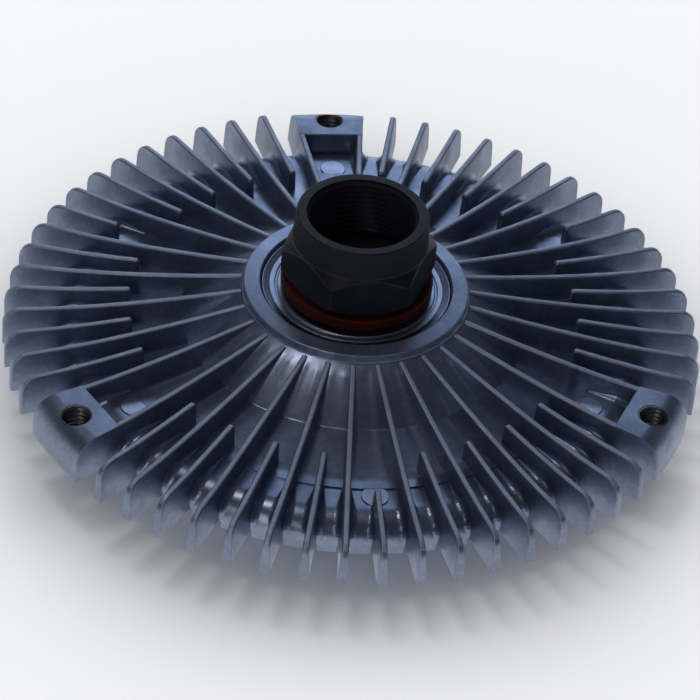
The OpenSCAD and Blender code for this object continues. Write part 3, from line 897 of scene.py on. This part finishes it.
    def fin_blade(self, start_r: float, end_r: float, corner: float) -> BMesh:
        """Model one fin along the X axis.

        Args:
            start_r: Distance of the fin's inner end from the axis.
            end_r: Distance of the fin's outer end from the axis.
            corner: Rounding of its outer corner.

        Returns:
            Closed mesh of the fin, in place along the X axis.
        """
        bm = bmesh.new()
        centre = Vector((end_r - corner, self.fin_h - corner))
        arc = [(centre.x + corner * math.cos(a), centre.y + corner * math.sin(a))
               for a in quarter_turn(self.corner_parts)]
        foot_r = self.fin_foot_r
        tail = [(foot_r, 0), (end_r, 0), *arc, (foot_r, self.fin_top(foot_r))]
        verts = [bm.verts.new((r, 0, z)) for r, z in tail]
        bm.faces.new(verts)
        edge = bm.edges.get((verts[-1], verts[0]))
        for r, top in self.fin_stations(start_r):
            grown = bmesh.ops.extrude_edge_only(bm, edges=[edge])["geom"]
            ends = [g for g in grown if isinstance(g, BMVert)]
            low, high = sorted(ends, key=lambda vert: vert.co.z)
            sunk = self.surface_z(r) - self.z_fin - self.fin_sink
            low.co = (r, 0, min(sunk, top - self.fin_least_h))
            high.co = (r, 0, top)
            edge = bm.edges.get((low, high))
        thick = bmesh.ops.extrude_face_region(bm, geom=bm.faces[:])["geom"]
        far_side = {g for g in thick if isinstance(g, BMVert)}
        for vert in bm.verts:
            vert.co.y = self.half_t(vert.co.z) * (1 if vert in far_side else -1)
        bmesh.ops.recalc_face_normals(bm, faces=bm.faces)
        soften(bm, crest_edges(bm, lambda middle: abs(middle.y) > NEAR_MM), self.fin_edge)
        bm.normal_update()
        # Faces that face up steeply take the paler top finish: painted light on the fin tops.
        for face in bm.faces:
            face.material_index = CastFace.CREST if face.normal.z > self.lit_top_slope else CastFace.FIN
        bmesh.ops.translate(bm, verts=bm.verts, vec=(0, 0, self.z_fin))
        return bm

    def cove_path(self, start_r: float) -> list[tuple[Vector, Vector, float]]:
        """Follow the body beside a fin, over the flat ring and the rounded wall.

        Args:
            start_r: Distance of the fin's inner end from the axis.

        Returns:
            Place, direction away from the body and size of the hollow at each station.
        """
        up, out = Vector((0, 1)), Vector((1, 0))
        first = max(start_r + self.cove_start, self.step_r + NEAR_MM)
        flat_end = self.wall_r - self.wall_reach
        path = []
        if first < flat_end - self.cove_least:
            path = [(Vector((first + (flat_end - first) * i / self.flat_parts, self.ring_z)), up)
                    for i in range(self.flat_parts)]
        path += [(place, away) for place, away in self.wall_curve() if place.x > first]
        path.append((Vector((self.wall_r, self.z_fin)), out))
        grown = [min((place.x - first) / self.cove_reach, (place.y - self.z_fin) / self.cove_fade, 1.0)
                 for place, _ in path]
        return [(place, away, self.cove + (self.wall_cove - self.cove) * share)
                for (place, away), share in zip(path, grown)]

    def fin_cove(self, start_r: float, side: int) -> BMesh:
        """Model the hollow rounding between a fin's side and the body.

        Args:
            start_r: Distance of the fin's inner end from the axis.
            side: 1 or -1.

        Returns:
            Closed mesh of the strip, in place along the X axis.
        """
        bm = bmesh.new()
        ring: list[BMVert] = []
        for foot, away, size in self.cove_path(start_r):
            half = self.half_t(foot.y + size * away.y - self.z_fin)
            hollow = [(half + size * (1 - math.sin(a)), size * (1 - math.cos(a)) - self.cove_sink)
                      for a in quarter_turn(self.cove_parts)]
            places = [(foot.x + away.x * rise, side * y, foot.y + away.y * rise)
                      for y, rise in [*hollow, (half - self.cove_back, -self.cove_back)]]
            if ring:
                cap = bmesh.ops.extrude_face_region(bm, geom=[bm.faces.get(ring)])["geom"]
                old = {tuple(v.co): i for i, v in enumerate(ring)}
                grown = [g for g in cap if isinstance(g, BMVert)]
                ring = sorted(grown, key=lambda v: old[tuple(v.co)])
                for vert, place in zip(ring, places):
                    vert.co = place
            else:
                ring = [bm.verts.new(place) for place in places]
                bm.faces.new(ring)
        bmesh.ops.recalc_face_normals(bm, faces=bm.faces)
        return bm

    def add_fins(self, cast: BMesh) -> None:
        """Add every fin with its roundings at the root.

        Args:
            cast: Mesh of the casting.
        """
        free_end = (self.fin_r, self.fin_corner)
        lug_end = (self.lug_out_r - self.lug_lap, self.lug_round)
        kinds: dict[tuple[float, float, float], list[float]] = {}
        for place in range(self.fin_places):
            from_lug = place % self.lug_pitch
            if from_lug == 0:
                continue
            start = self.short_fin_r
            if place % 2:
                start = self.boss_r - self.fin_lap
            elif from_lug == self.lug_pitch // 2:
                start = self.stub_fin_r
            end = lug_end if from_lug in (1, self.lug_pitch - 1) else free_end
            kinds.setdefault((start, *end), []).append(self.angle(place))
        for (start, end_r, corner), turns in kinds.items():
            add_copies(cast, self.fin_blade(start, end_r, corner), turns)
            for side in (1, -1):
                add_copies(cast, self.fin_cove(start, side), turns)

    def add_rim(self, cast: BMesh) -> None:
        """Add the crimped rim's tabs, with a gap under each fin.

        Args:
            cast: Mesh of the casting.
        """
        section = rounded([
            Corner(self.crimp_r, self.rim_z, self.rim_edge_in),
            Corner(self.wall_r, self.rim_z, self.rim_edge_out),
            Corner(self.wall_r, self.z_fin),
            Corner(self.crimp_r, self.z_fin),
        ], self.edge_parts)
        gap = self.rim_gap / self.wall_r
        places = range(self.fin_places)
        beside_lug = {0, self.lug_pitch - 1}
        narrow = [self.angle(p + 0.5) for p in places if p % self.lug_pitch not in beside_lug]
        wide = [self.angle(p) for p in places if p % self.lug_pitch == 0]
        add_copies(cast, wedge(section, (self.fin_step - gap) / 2, self.tab_steps), narrow)
        add_copies(cast, wedge(section, self.fin_step - gap / 2, self.lug_steps), wide)

    def lug(self) -> BMesh:
        """Model one lug along the X axis, without its hole.

        Returns:
            Closed mesh of the lug.
        """
        top = self.z_fin + self.lug_top
        section = rounded([
            Corner(self.lug_in_r, self.z_fin - self.lug_drop),
            Corner(self.lug_out_r, self.z_fin - self.lug_drop, self.lug_foot_edge),
            Corner(self.lug_out_r, top, self.lug_round),
            Corner(self.lug_in_r, top),
        ], self.arc_parts)
        bm = wedge(section, self.fin_step + math.radians(self.lug_side), self.lug_steps)
        inner = self.lug_in_r + NEAR_MM
        for vert in bm.verts:
            if vert.co.xy.length < inner:
                vert.co.x = self.lug_in_r
        bmesh.ops.recalc_face_normals(bm, faces=bm.faces)
        upper = crest_edges(bm, lambda middle: middle.x < inner and middle.z > top - NEAR_MM)
        soften(bm, upper, self.lug_edge)
        return bm

    def lug_cutter(self) -> BMesh:
        """Model the shape of a lug's countersunk hole.

        Returns:
            Closed mesh, in place along the X axis.
        """
        top = self.z_fin + self.lug_top
        low, high = self.z_fin - self.drill_past, top + self.drill_past
        mouth_r = self.screw_r + self.screw_mouth
        bm = lathe([(0, low), (self.screw_r, low), (self.screw_r, top - self.screw_mouth),
                    (mouth_r, top), (mouth_r, high), (0, high)], self.hole_steps)
        bmesh.ops.translate(bm, verts=bm.verts, vec=(self.lug_hole_r, 0, 0))
        return bm

    def lug_crown(self, r: float) -> float:
        """Give the height of a lug's rounded upper face at a distance from the axis."""
        past = max(0.0, r - self.lug_out_r + self.lug_round)
        return self.z_fin + self.lug_top - self.lug_round + math.sqrt(self.lug_round ** 2 - past ** 2)

    def add_lugs(self, cast: BMesh) -> None:
        """Add the lugs, each with its hole cut through.

        Args:
            cast: Mesh of the casting.
        """
        pieces = []
        for name, bm in (("lug_blank", self.lug()), ("lug_cutter", self.lug_cutter())):
            mesh = bpy.data.meshes.new(name)
            bm.to_mesh(mesh)
            bm.free()
            pieces.append(bpy.data.objects.new(name, mesh))
            bpy.context.scene.collection.objects.link(pieces[-1])
        blank, cutter = pieces
        cut = blank.modifiers.new("hole", "BOOLEAN")
        cut.operation = "DIFFERENCE"
        cut.solver = "EXACT"
        cut.object = cutter
        bpy.context.view_layer.update()
        drilled = bmesh.new()
        drilled.from_object(blank, bpy.context.evaluated_depsgraph_get())
        for piece in pieces:
            mesh = piece.data
            bpy.data.objects.remove(piece)
            bpy.data.meshes.remove(mesh)
        for face in drilled.faces:
            face.material_index = CastFace.FIN
        turns = [self.angle(i * self.lug_pitch) for i in range(self.lug_count)]
        add_copies(cast, drilled, turns)

    def add_pads(self, cast: BMesh) -> None:
        """Add the bright pads that the ejector pins leave on the flat ring.

        Args:
            cast: Mesh of the casting.
        """
        low, top = self.ring_z - self.pad_sink, self.ring_z + self.pad_h
        pad = lathe(rounded([
            Corner(0, low),
            Corner(self.pad_r, low),
            Corner(self.pad_r, top, self.pad_edge),
            Corner(0, top),
        ], self.edge_parts), self.hole_steps)
        for face in pad.faces:
            face.material_index = CastFace.PAD
        bmesh.ops.translate(pad, verts=pad.verts, vec=(self.pad_circle_r, 0, 0))
        count = 2 * self.lug_count
        add_copies(cast, pad, [math.pi / 2 + math.tau * i / count for i in range(count)])

    def build(self) -> None:
        """Build the casting and the threads in its lugs."""
        cast = lathe(rounded(self.body_corners(), self.arc_parts), self.body_steps)
        self.add_fins(cast)
        self.add_rim(cast)
        self.add_lugs(cast)
        self.add_pads(cast)
        finishes = [CAST_FACES[face].material() for face in CastFace]
        piece = make_piece("housing_casting", cast, finishes, self.smooth_deg)
        seat(piece, Body.HOUSING, "housing_casting", "finned_housing")
        self.build_threads()

    def build_threads(self) -> None:
        """Build the threads as sleeves, each trimmed to its lug's rounded top."""
        low = self.z_fin - self.lug_drop
        high = self.z_fin + self.lug_top - self.screw_mouth
        thread = ScrewThread(self.screw_core_r, self.screw_r, self.screw_pitch, low, high, Hand.RIGHT)
        # The darker thread finish is painted shade inside the lug holes.
        shaded_thread_material = SHADED_THREAD_FINISH.material()
        for index in range(self.lug_count):
            turn = self.angle(index * self.lug_pitch)
            bm = thread.sleeve(self.hole_steps)
            out = Vector((math.cos(turn), math.sin(turn), 0))
            bmesh.ops.translate(bm, verts=bm.verts, vec=out * self.lug_hole_r)
            for vert in bm.verts:
                vert.co.z = min(vert.co.z, self.lug_crown(vert.co.dot(out)) - self.screw_mouth)
            name = f"lug_thread_{index + 1}"
            sleeve = make_piece(name, bm, [shaded_thread_material], self.thread_smooth_deg)
            seat(sleeve, Body.HOUSING, "housing_casting")


@dataclass(frozen=True)
class ScrewThread:
    """Internal screw thread along the Z axis."""

    core_r: float
    major_r: float
    pitch: float
    z_low: float
    z_high: float
    hand: Hand
    rows_per_turn: int = 8
    flank: float = 1.3
    flat: float = 0.15
    wall: float = 0.05

    def radius(self, angle: float, z: float) -> float:
        """Give the thread's radius.

        Args:
            angle: Angle about the axis, in radians.
            z: Height.

        Returns:
            Radius between core and major radius, on a cut V with flats.
        """
        phase = (z / self.pitch - self.hand.value * angle / math.tau) % 1
        depth = min(max(self.flank * abs(2 * phase - 1) - self.flat, 0.0), 1.0)
        return self.core_r + (self.major_r - self.core_r) * depth

    def rows(self) -> list[float]:
        """List the heights of the rows of faces."""
        count = max(2, round((self.z_high - self.z_low) / self.pitch * self.rows_per_turn))
        return [self.z_low + (self.z_high - self.z_low) * i / count for i in range(count + 1)]

    def cut_into(self, bm: BMesh) -> None:
        """Move the points of a plain bore onto the thread.

        Args:
            bm: Mesh whose bore has the core radius.
        """
        for vert in bm.verts:
            on_wall = abs(vert.co.xy.length - self.core_r) < ON_MM
            if on_wall and self.z_low - ON_MM <= vert.co.z <= self.z_high + ON_MM:
                angle = math.atan2(vert.co.y, vert.co.x)
                r = self.radius(angle, vert.co.z)
                vert.co.x, vert.co.y = r * math.cos(angle), r * math.sin(angle)

    def sleeve(self, steps: int) -> BMesh:
        """Model the thread as a thin sleeve.

        Args:
            steps: Steps round the axis.

        Returns:
            Closed mesh of the sleeve.
        """
        back_r = self.major_r + self.wall
        bore = [(self.core_r, z) for z in self.rows()]
        bm = lathe([*bore, (back_r, self.z_high), (back_r, self.z_low)], steps)
        self.cut_into(bm)
        return bm


@dataclass
class ThreadedHub:
    """Black hub: round threaded neck on a hexagon, spacer and shaft."""

    z_top: float = 52.8
    z_shoulder: float = 45.4
    z_corner: float = 42.7
    z_hex: float = 34.8
    z_bearing_top: float = 31.0
    z_bearing: float = 19.0
    z_web: float = 12.9
    across_flats: float = 33.0
    hex_turn: float = 3.5
    hex_face_r: float = 16.3
    hex_chamfer_h: float = 2.0
    hex_edge: float = 0.25
    hex_soft: float = 0.3
    rim_r: float = 15.8
    rim_edge: float = 0.4
    neck_r: float = 16.3
    neck_fillet: float = 1.2
    spacer_r: float = 15.4
    seat_r: float = 12.5
    rotor_seat_r: float = 12.0
    peen_r: float = 13.5
    peen_h: float = 0.5
    bore_r: float = 12.7
    bore_depth: float = 15.5
    mouth: float = 0.7
    thread_depth: float = 0.75
    thread_pitch: float = 1.5
    thread_relief: float = 1.0
    seal_r: float = 18.4
    seal_gap: float = 0.5
    seal_fit: float = 0.05
    seal_low_edge: float = 0.9
    seal_top_edge: float = 0.7
    steps: int = 240
    seal_steps: int = 120
    arc_parts: int = 6
    chamfer_rows: int = 10
    smooth_deg: float = 35.0
    seal_smooth_deg: float = 40.0

    @property
    def corner_r(self) -> float:
        """Radius of the hexagon's rounded corners."""
        return self.across_flats / math.sqrt(3) - self.hex_edge

    def thread(self) -> ScrewThread:
        """Describe the bore's left-hand thread.

        Returns:
            The thread, from its relief up to the mouth.
        """
        z_low = self.z_top - self.bore_depth + self.thread_relief
        return ScrewThread(self.bore_r, self.bore_r + self.thread_depth, self.thread_pitch, z_low,
                           self.z_top - self.mouth, Hand.LEFT)

    def hex_radius(self, angle: float, turned_r: float) -> float:
        """Give the hexagon's radius where a turned surface cuts it, with a softened edge between them.

        Args:
            angle: Angle about the axis, in radians.
            turned_r: Radius of the turned surface at this height.

        Returns:
            Radius of the surface.
        """
        sixth = math.tau / 6
        from_flat = (angle - math.radians(self.hex_turn)) % sixth - sixth / 2
        flat_r = self.across_flats / 2 / math.cos(from_flat)
        share = min(max(0.5 + 0.5 * (flat_r - turned_r) / self.hex_soft, 0.0), 1.0)
        return flat_r + (turned_r - flat_r) * share - self.hex_soft * share * (1 - share)

    def outline(self) -> list[Point]:
        """Trace the half section, with rows for the thread and the hexagon's chamfers.

        Returns:
            Points of the closed section, in radius and height.
        """
        z_floor = self.z_top - self.bore_depth
        z_end = self.z_web - self.peen_h
        mouth = (self.bore_r + self.mouth, self.z_top)
        rows = self.chamfer_rows
        bore = [(0.0, z_floor), (self.bore_r, z_floor),
                *((self.bore_r, z) for z in self.thread().rows()), mouth]
        neck = rounded([
            Corner(*mouth),
            Corner(self.rim_r, self.z_top, self.rim_edge),
            Corner(self.neck_r, self.z_shoulder, self.neck_fillet),
            Corner(self.corner_r, self.z_corner),
        ], self.arc_parts)
        inner, outer = Vector(neck[-2]), Vector(neck[-1])
        shoulder = [tuple(inner.lerp(outer, i / rows)) for i in range(1, rows)]
        chamfer = [(self.corner_r + (self.hex_face_r - self.corner_r) * i / rows,
                    self.z_hex + self.hex_chamfer_h * (1 - i / rows)) for i in range(rows + 1)]
        shaft = [
            (self.spacer_r, self.z_hex), (self.spacer_r, self.z_bearing_top),
            (self.seat_r, self.z_bearing_top), (self.seat_r, self.z_bearing),
            (self.rotor_seat_r, self.z_bearing), (self.rotor_seat_r, self.z_web),
            (self.peen_r, self.z_web), (self.peen_r, z_end), (0.0, z_end),
        ]
        return [*bore, *neck[1:-1], *shoulder, neck[-1], *chamfer, *shaft]

    def cut_hexagon(self, bm: BMesh) -> None:
        """Move the points of the turned blank onto the hexagon.

        Args:
            bm: Turned mesh of the hub.
        """
        for vert in bm.verts:
            turned_r = vert.co.xy.length
            in_height = self.z_hex - ON_MM <= vert.co.z <= self.z_shoulder
            if not in_height or turned_r < self.spacer_r + ON_MM:
                continue
            angle = math.atan2(vert.co.y, vert.co.x)
            r = self.hex_radius(angle, turned_r)
            vert.co.x, vert.co.y = r * math.cos(angle), r * math.sin(angle)

    def build(self) -> None:
        """Build the hub and its dust seal."""
        bm = lathe(self.outline(), self.steps)
        self.cut_hexagon(bm)
        self.thread().cut_into(bm)
        bmesh.ops.recalc_face_normals(bm, faces=bm.faces)
        hub = make_piece("threaded_hub", bm, [FINISHES["black_steel"].material()], self.smooth_deg)
        seat(hub, Body.HUB, "black_steel", "hub_shaft")
        seal_z = self.z_bearing_top + self.seal_gap
        ring = lathe(rounded([
            Corner(self.spacer_r + self.seal_fit, seal_z),
            Corner(self.seal_r, seal_z, self.seal_low_edge),
            Corner(self.seal_r, self.z_hex, self.seal_top_edge),
            Corner(self.spacer_r + self.seal_fit, self.z_hex),
        ], self.arc_parts), self.seal_steps)
        rubber = FINISHES["red_elastomer"].material()
        seal = make_piece("dust_seal", ring, [rubber], self.seal_smooth_deg)
        seat(seal, Body.HUB, "red_elastomer", "hub_dust_seal")


@dataclass
class SealedBearing:
    """Rear side of the bearing: chamfered outer ring and pressed shield."""

    z_low: float = 19.0
    z_top: float = 31.0
    ring_r: float = 23.5
    bore_r: float = 20.6
    corner: float = 0.75
    seat_r: float = 21.1
    seat_z: float = 30.55
    seat_gap: float = 0.1
    edge: float = 0.3
    shield_in_r: float = 15.75
    shield_t: float = 0.5
    shield_rise: float = 0.1
    shield_bend: float = 0.15
    tight_bend: float = 0.1
    flange_r: float = 19.8
    groove_r: float = 19.2
    groove_depth: float = 0.4
    groove_slope: float = 0.15
    hem_r: float = 16.6
    hem_drop: float = 0.05
    hem_round: float = 0.3
    steps: int = 180
    arc_parts: int = 3
    smooth_deg: float = 35.0

    def build(self) -> None:
        """Build the outer ring and the rear shield."""
        seat_low = self.seat_z - self.shield_t - self.seat_gap
        ring = lathe(rounded([
            Corner(self.bore_r, self.z_low, self.edge),
            Corner(self.ring_r, self.z_low, self.edge),
            Corner(self.ring_r, self.z_top - self.corner, self.edge),
            Corner(self.ring_r - self.corner, self.z_top, self.edge),
            Corner(self.seat_r, self.seat_z),
            Corner(self.seat_r, seat_low),
            Corner(self.bore_r, seat_low),
        ], self.arc_parts), self.steps)
        steel = FINISHES["bearing_steel"].material()
        outer = make_piece("bearing_race", ring, [steel], self.smooth_deg)
        seat(outer, Body.HOUSING, "bearing_steel", "bearing_outer_ring")
        top = self.seat_z + self.shield_rise
        low = top - self.groove_depth
        hem_top = top - self.hem_drop
        disc = lathe(rounded([
            Corner(self.seat_r, top - self.shield_t),
            Corner(self.seat_r, top, self.shield_bend),
            Corner(self.flange_r, top, self.shield_bend),
            Corner(self.flange_r - self.groove_slope, low, self.tight_bend),
            Corner(self.groove_r, low, self.tight_bend),
            Corner(self.groove_r - self.groove_slope, hem_top, self.shield_bend),
            Corner(self.hem_r, hem_top, self.hem_round),
            Corner(self.shield_in_r, low, self.tight_bend),
            Corner(self.shield_in_r, low - self.shield_t),
            Corner(self.flange_r, low - self.shield_t),
        ], self.arc_parts), self.steps)
        shield = make_piece("rear_shield", disc, [FINISHES["shield_steel"].material()], self.smooth_deg)
        seat(shield, Body.HOUSING, "shield_steel", "bearing_rear_shield")


@dataclass
class BimetalStrip:
    """Temperature strip, in two halves that reach from their hooks to the pin."""

    length: float = 48.0
    width: float = 12.0
    thick: float = 1.0
    clear: float = 1.2
    edge: float = 0.15
    edge_parts: int = 2
    held: float = 3.0
    pin_r: float = 2.0
    parts: int = 22
    smooth_deg: float = 35.0

    def half(self, side: int) -> BMesh:
        """Model one half, cut across so that it can bend.

        Args:
            side: 1 for the half on +X, -1 for the other.

        Returns:
            Closed mesh of the half.
        """
        reach = self.length / 2
        bm = bmesh.new()
        bmesh.ops.create_cube(bm, size=1)
        bmesh.ops.scale(bm, verts=bm.verts, vec=(reach, self.width, self.thick))
        middle_z = self.clear + self.thick / 2
        bmesh.ops.translate(bm, verts=bm.verts, vec=(side * reach / 2, 0, middle_z))
        free = crest_edges(bm, lambda middle: abs(middle.x) > self.edge)
        soften(bm, free, self.edge, self.edge_parts)
        for part in range(1, self.parts):
            cut_x = side * reach * part / self.parts
            bmesh.ops.bisect_plane(bm, geom=[*bm.verts, *bm.edges, *bm.faces], plane_co=(cut_x, 0, 0),
                                   plane_no=(1, 0, 0))
        bmesh.ops.recalc_face_normals(bm, faces=bm.faces)
        return bm

    def build(self) -> None:
        """Build both halves in place of the strip."""
        material = FINISHES["bimetal"].material()
        for index, side in enumerate((1, -1)):
            name = f"bimetal_half_{index + 1}"
            piece = make_piece(name, self.half(side), [material], self.smooth_deg)
            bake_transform(piece)
            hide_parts("bimetal_strip")


class CarriedSolids:
    """Solids of the model that are shown as they are, each with its own finish."""

    def dress(self) -> None:
        """Give each shown solid the finish of its material slot."""
        slots = {part["node"]: part["material_slot"] for part in frame["record"]["subparts"]}
        made: dict[str, Material] = {}
        for node, piece in frame["nodes"].items():
            if piece.hide_render:
                continue
            slot = slots[node]
            if slot not in made:
                made[slot] = FINISHES[slot].material()
            piece.data.materials.clear()
            piece.data.materials.append(made[slot])
            LOG.info("%s: solid dressed in %s", node, slot)


@dataclass(frozen=True)
class Lamp:
    """Round or long lamp that looks at the clutch."""

    name: str
    azimuth: float
    elevation: float
    distance: float
    width: float
    height: float
    level: float

    def add(self, target: Vector) -> None:
        """Place the lamp.

        Args:
            target: Point that it looks at.
        """
        light = bpy.data.lights.new(self.name, "AREA")
        light.shape = "ELLIPSE"
        light.size, light.size_y = self.width, self.height
        light.energy = self.level * math.pi ** 2 * self.width * self.height / 4
        lamp = bpy.data.objects.new(self.name, light)
        bpy.context.scene.collection.objects.link(lamp)
        turn, rise = math.radians(self.azimuth), math.radians(self.elevation)
        flat = math.cos(rise)
        away = Vector((math.sin(turn) * flat, -math.cos(turn) * flat, math.sin(rise)))
        lamp.location = target + away * self.distance
        lamp.rotation_mode = "QUATERNION"
        lamp.rotation_quaternion = away.to_track_quat("Z", "Y")


@dataclass
class Studio:
    """Pale floor, soft surroundings, lamps and the photograph's camera."""

    camera_distance: float = 762.06
    camera_rise: float = 39.813
    camera_turn: float = -8.191
    camera_roll: float = 5.448
    target_z: float = 10.46
    focal_px: float = 3097.6
    picture_px: float = 700.0
    sensor_mm: float = 36.0
    near_clip: float = 0.01
    far_clip: float = 50.0
    floor_half: float = 8.0
    floor_colour: Colour = (0.9, 0.9, 0.9)
    floor_specular: float = 0.2
    floor_roughness: float = 0.9
    floor_glow: float = 0.76
    floor_shine: float = 0.55
    shade_reach: float = 0.12
    shade_power: float = 2.0
    dark: Colour = (0.054, 0.058, 0.074)
    window: Colour = (0.98, 1.22, 1.62)
    window_x: float = 0.1
    window_front: Point = (0.2, 0.4)
    window_top: Point = (0.75, 0.63)
    window_side: Point = (0.2, 0.12)
    horizon: Colour = (0.5, 0.54, 0.6)
    horizon_top: Point = (0.25, 0.02)
    lamps: tuple[Lamp, ...] = (
        Lamp("overhead", -131, 73.5, 1.3, 0.26, 0.26, 7.0),
        Lamp("strip", -33, 30, 1.5, 0.36, 1.2, 1.7),
    )

    def add_camera(self) -> None:
        """Place the camera as the photograph was taken."""
        rise, roll = math.radians(self.camera_rise), math.radians(self.camera_roll)
        round_z = math.pi - math.radians(self.camera_turn)
        target = Vector((0, 0, self.target_z)) * MM
        flat = math.cos(rise)
        away = Vector((flat * math.sin(round_z), flat * math.cos(round_z), math.sin(rise)))
        right = (-away).cross(Vector((0, 0, 1))).normalized()
        up = right.cross(-away)
        turned_right = math.cos(roll) * right + math.sin(roll) * up
        turned_up = math.cos(roll) * up - math.sin(roll) * right
        place = Matrix((turned_right, turned_up, away)).transposed().to_4x4()
        place.translation = target + away * self.camera_distance * MM
        camera = bpy.data.cameras.new("camera")
        camera.sensor_width = self.sensor_mm
        camera.lens = self.focal_px / self.picture_px * self.sensor_mm
        camera.clip_start, camera.clip_end = self.near_clip, self.far_clip
        view = bpy.data.objects.new("camera", camera)
        view.matrix_world = place
        bpy.context.scene.collection.objects.link(view)
        bpy.context.scene.camera = view

    def mirrored(self, nodes: NodeTree) -> tuple[NodeSocket, NodeSocket]:
        """Find the rays that show the background: from the camera, or by a gloss or through glass.

        Args:
            nodes: Node tree that gets the nodes.

        Returns:
            Mask of the camera's rays, and mask of the others.
        """
        path = nodes.add("LightPath")
        others = nodes.math("MAXIMUM", path.outputs["Is Glossy Ray"],
                            path.outputs["Is Transmission Ray"])
        return path.outputs["Is Camera Ray"], others

    def add_floor(self) -> None:
        """Lay the pale floor, whose glow fades near the clutch as a painted shadow."""
        bm = bmesh.new()
        bmesh.ops.create_grid(bm, x_segments=1, y_segments=1, size=self.floor_half)
        mesh = bpy.data.meshes.new("floor")
        bm.to_mesh(mesh)
        bm.free()
        floor = bpy.data.objects.new("floor", mesh)
        bpy.context.scene.collection.objects.link(floor)
        material, nodes, shader = principled("floor", 0.0, self.floor_specular)
        shader.inputs["Base Color"].default_value = (*self.floor_colour, 1)
        shader.inputs["Roughness"].default_value = self.floor_roughness
        shader.inputs["Emission Color"].default_value = (1, 1, 1, 1)
        # The glow fades where the clutch is near: a painted shadow under and around it, besides the
        # lamps' real shadow.
        open_sky = nodes.add("AmbientOcclusion")
        open_sky.inputs["Distance"].default_value = self.shade_reach
        outside_painted_shadow = nodes.math("POWER", open_sky.outputs["AO"], self.shade_power)
        camera, others = self.mirrored(nodes)
        seen = nodes.math("MULTIPLY", nodes.math("MULTIPLY", camera, outside_painted_shadow), self.floor_glow)
        glow = nodes.math("ADD", seen, nodes.math("MULTIPLY", others, self.floor_shine))
        nodes.join(glow, shader.inputs["Emission Strength"])
        mesh.materials.append(material)

    def add_surroundings(self) -> None:
        """Set a window behind the clutch and a pale horizon in a dark room."""
        world = bpy.data.worlds.new("surroundings")
        world.use_nodes = True
        bpy.context.scene.world = world
        nodes = NodeTree(world.node_tree)
        place = nodes.add("TexCoord")
        parts = nodes.add("SeparateXYZ")
        nodes.join(place.outputs["Generated"], parts.inputs["Vector"])
        behind = nodes.spread(parts.outputs["Y"], *self.window_front)
        low = nodes.spread(parts.outputs["Z"], *self.window_top)
        aside = nodes.math("ABSOLUTE", nodes.math("SUBTRACT", parts.outputs["X"], self.window_x))
        middle = nodes.spread(aside, *self.window_side)
        window = nodes.math("MULTIPLY", nodes.math("MULTIPLY", behind, low), middle)
        horizon = nodes.spread(parts.outputs["Z"], *self.horizon_top)
        walls = nodes.mix(horizon, self.dark, self.horizon)
        room = nodes.mix(window, walls, self.window)
        path = nodes.add("LightPath")
        background = world.node_tree.nodes["Background"]
        shown = nodes.mix(path.outputs["Is Camera Ray"], room, (1, 1, 1))
        nodes.join(shown, background.inputs["Color"])
        background.inputs["Strength"].default_value = 1.0

    def build(self) -> None:
        """Set up the whole studio."""
        bpy.context.scene.view_settings.view_transform = "Standard"
        self.add_camera()
        self.add_floor()
        self.add_surroundings()
        for lamp in self.lamps:
            lamp.add(Vector((0, 0, self.target_z)) * MM)


def main() -> None:
    """Build the pieces, then the studio."""
    logging.basicConfig(level=logging.INFO)
    FinnedHousing().build()
    ThreadedHub().build()
    SealedBearing().build()
    BimetalStrip().build()
    CarriedSolids().dress()
    Studio().build()


if __name__ == "__main__":
    main()
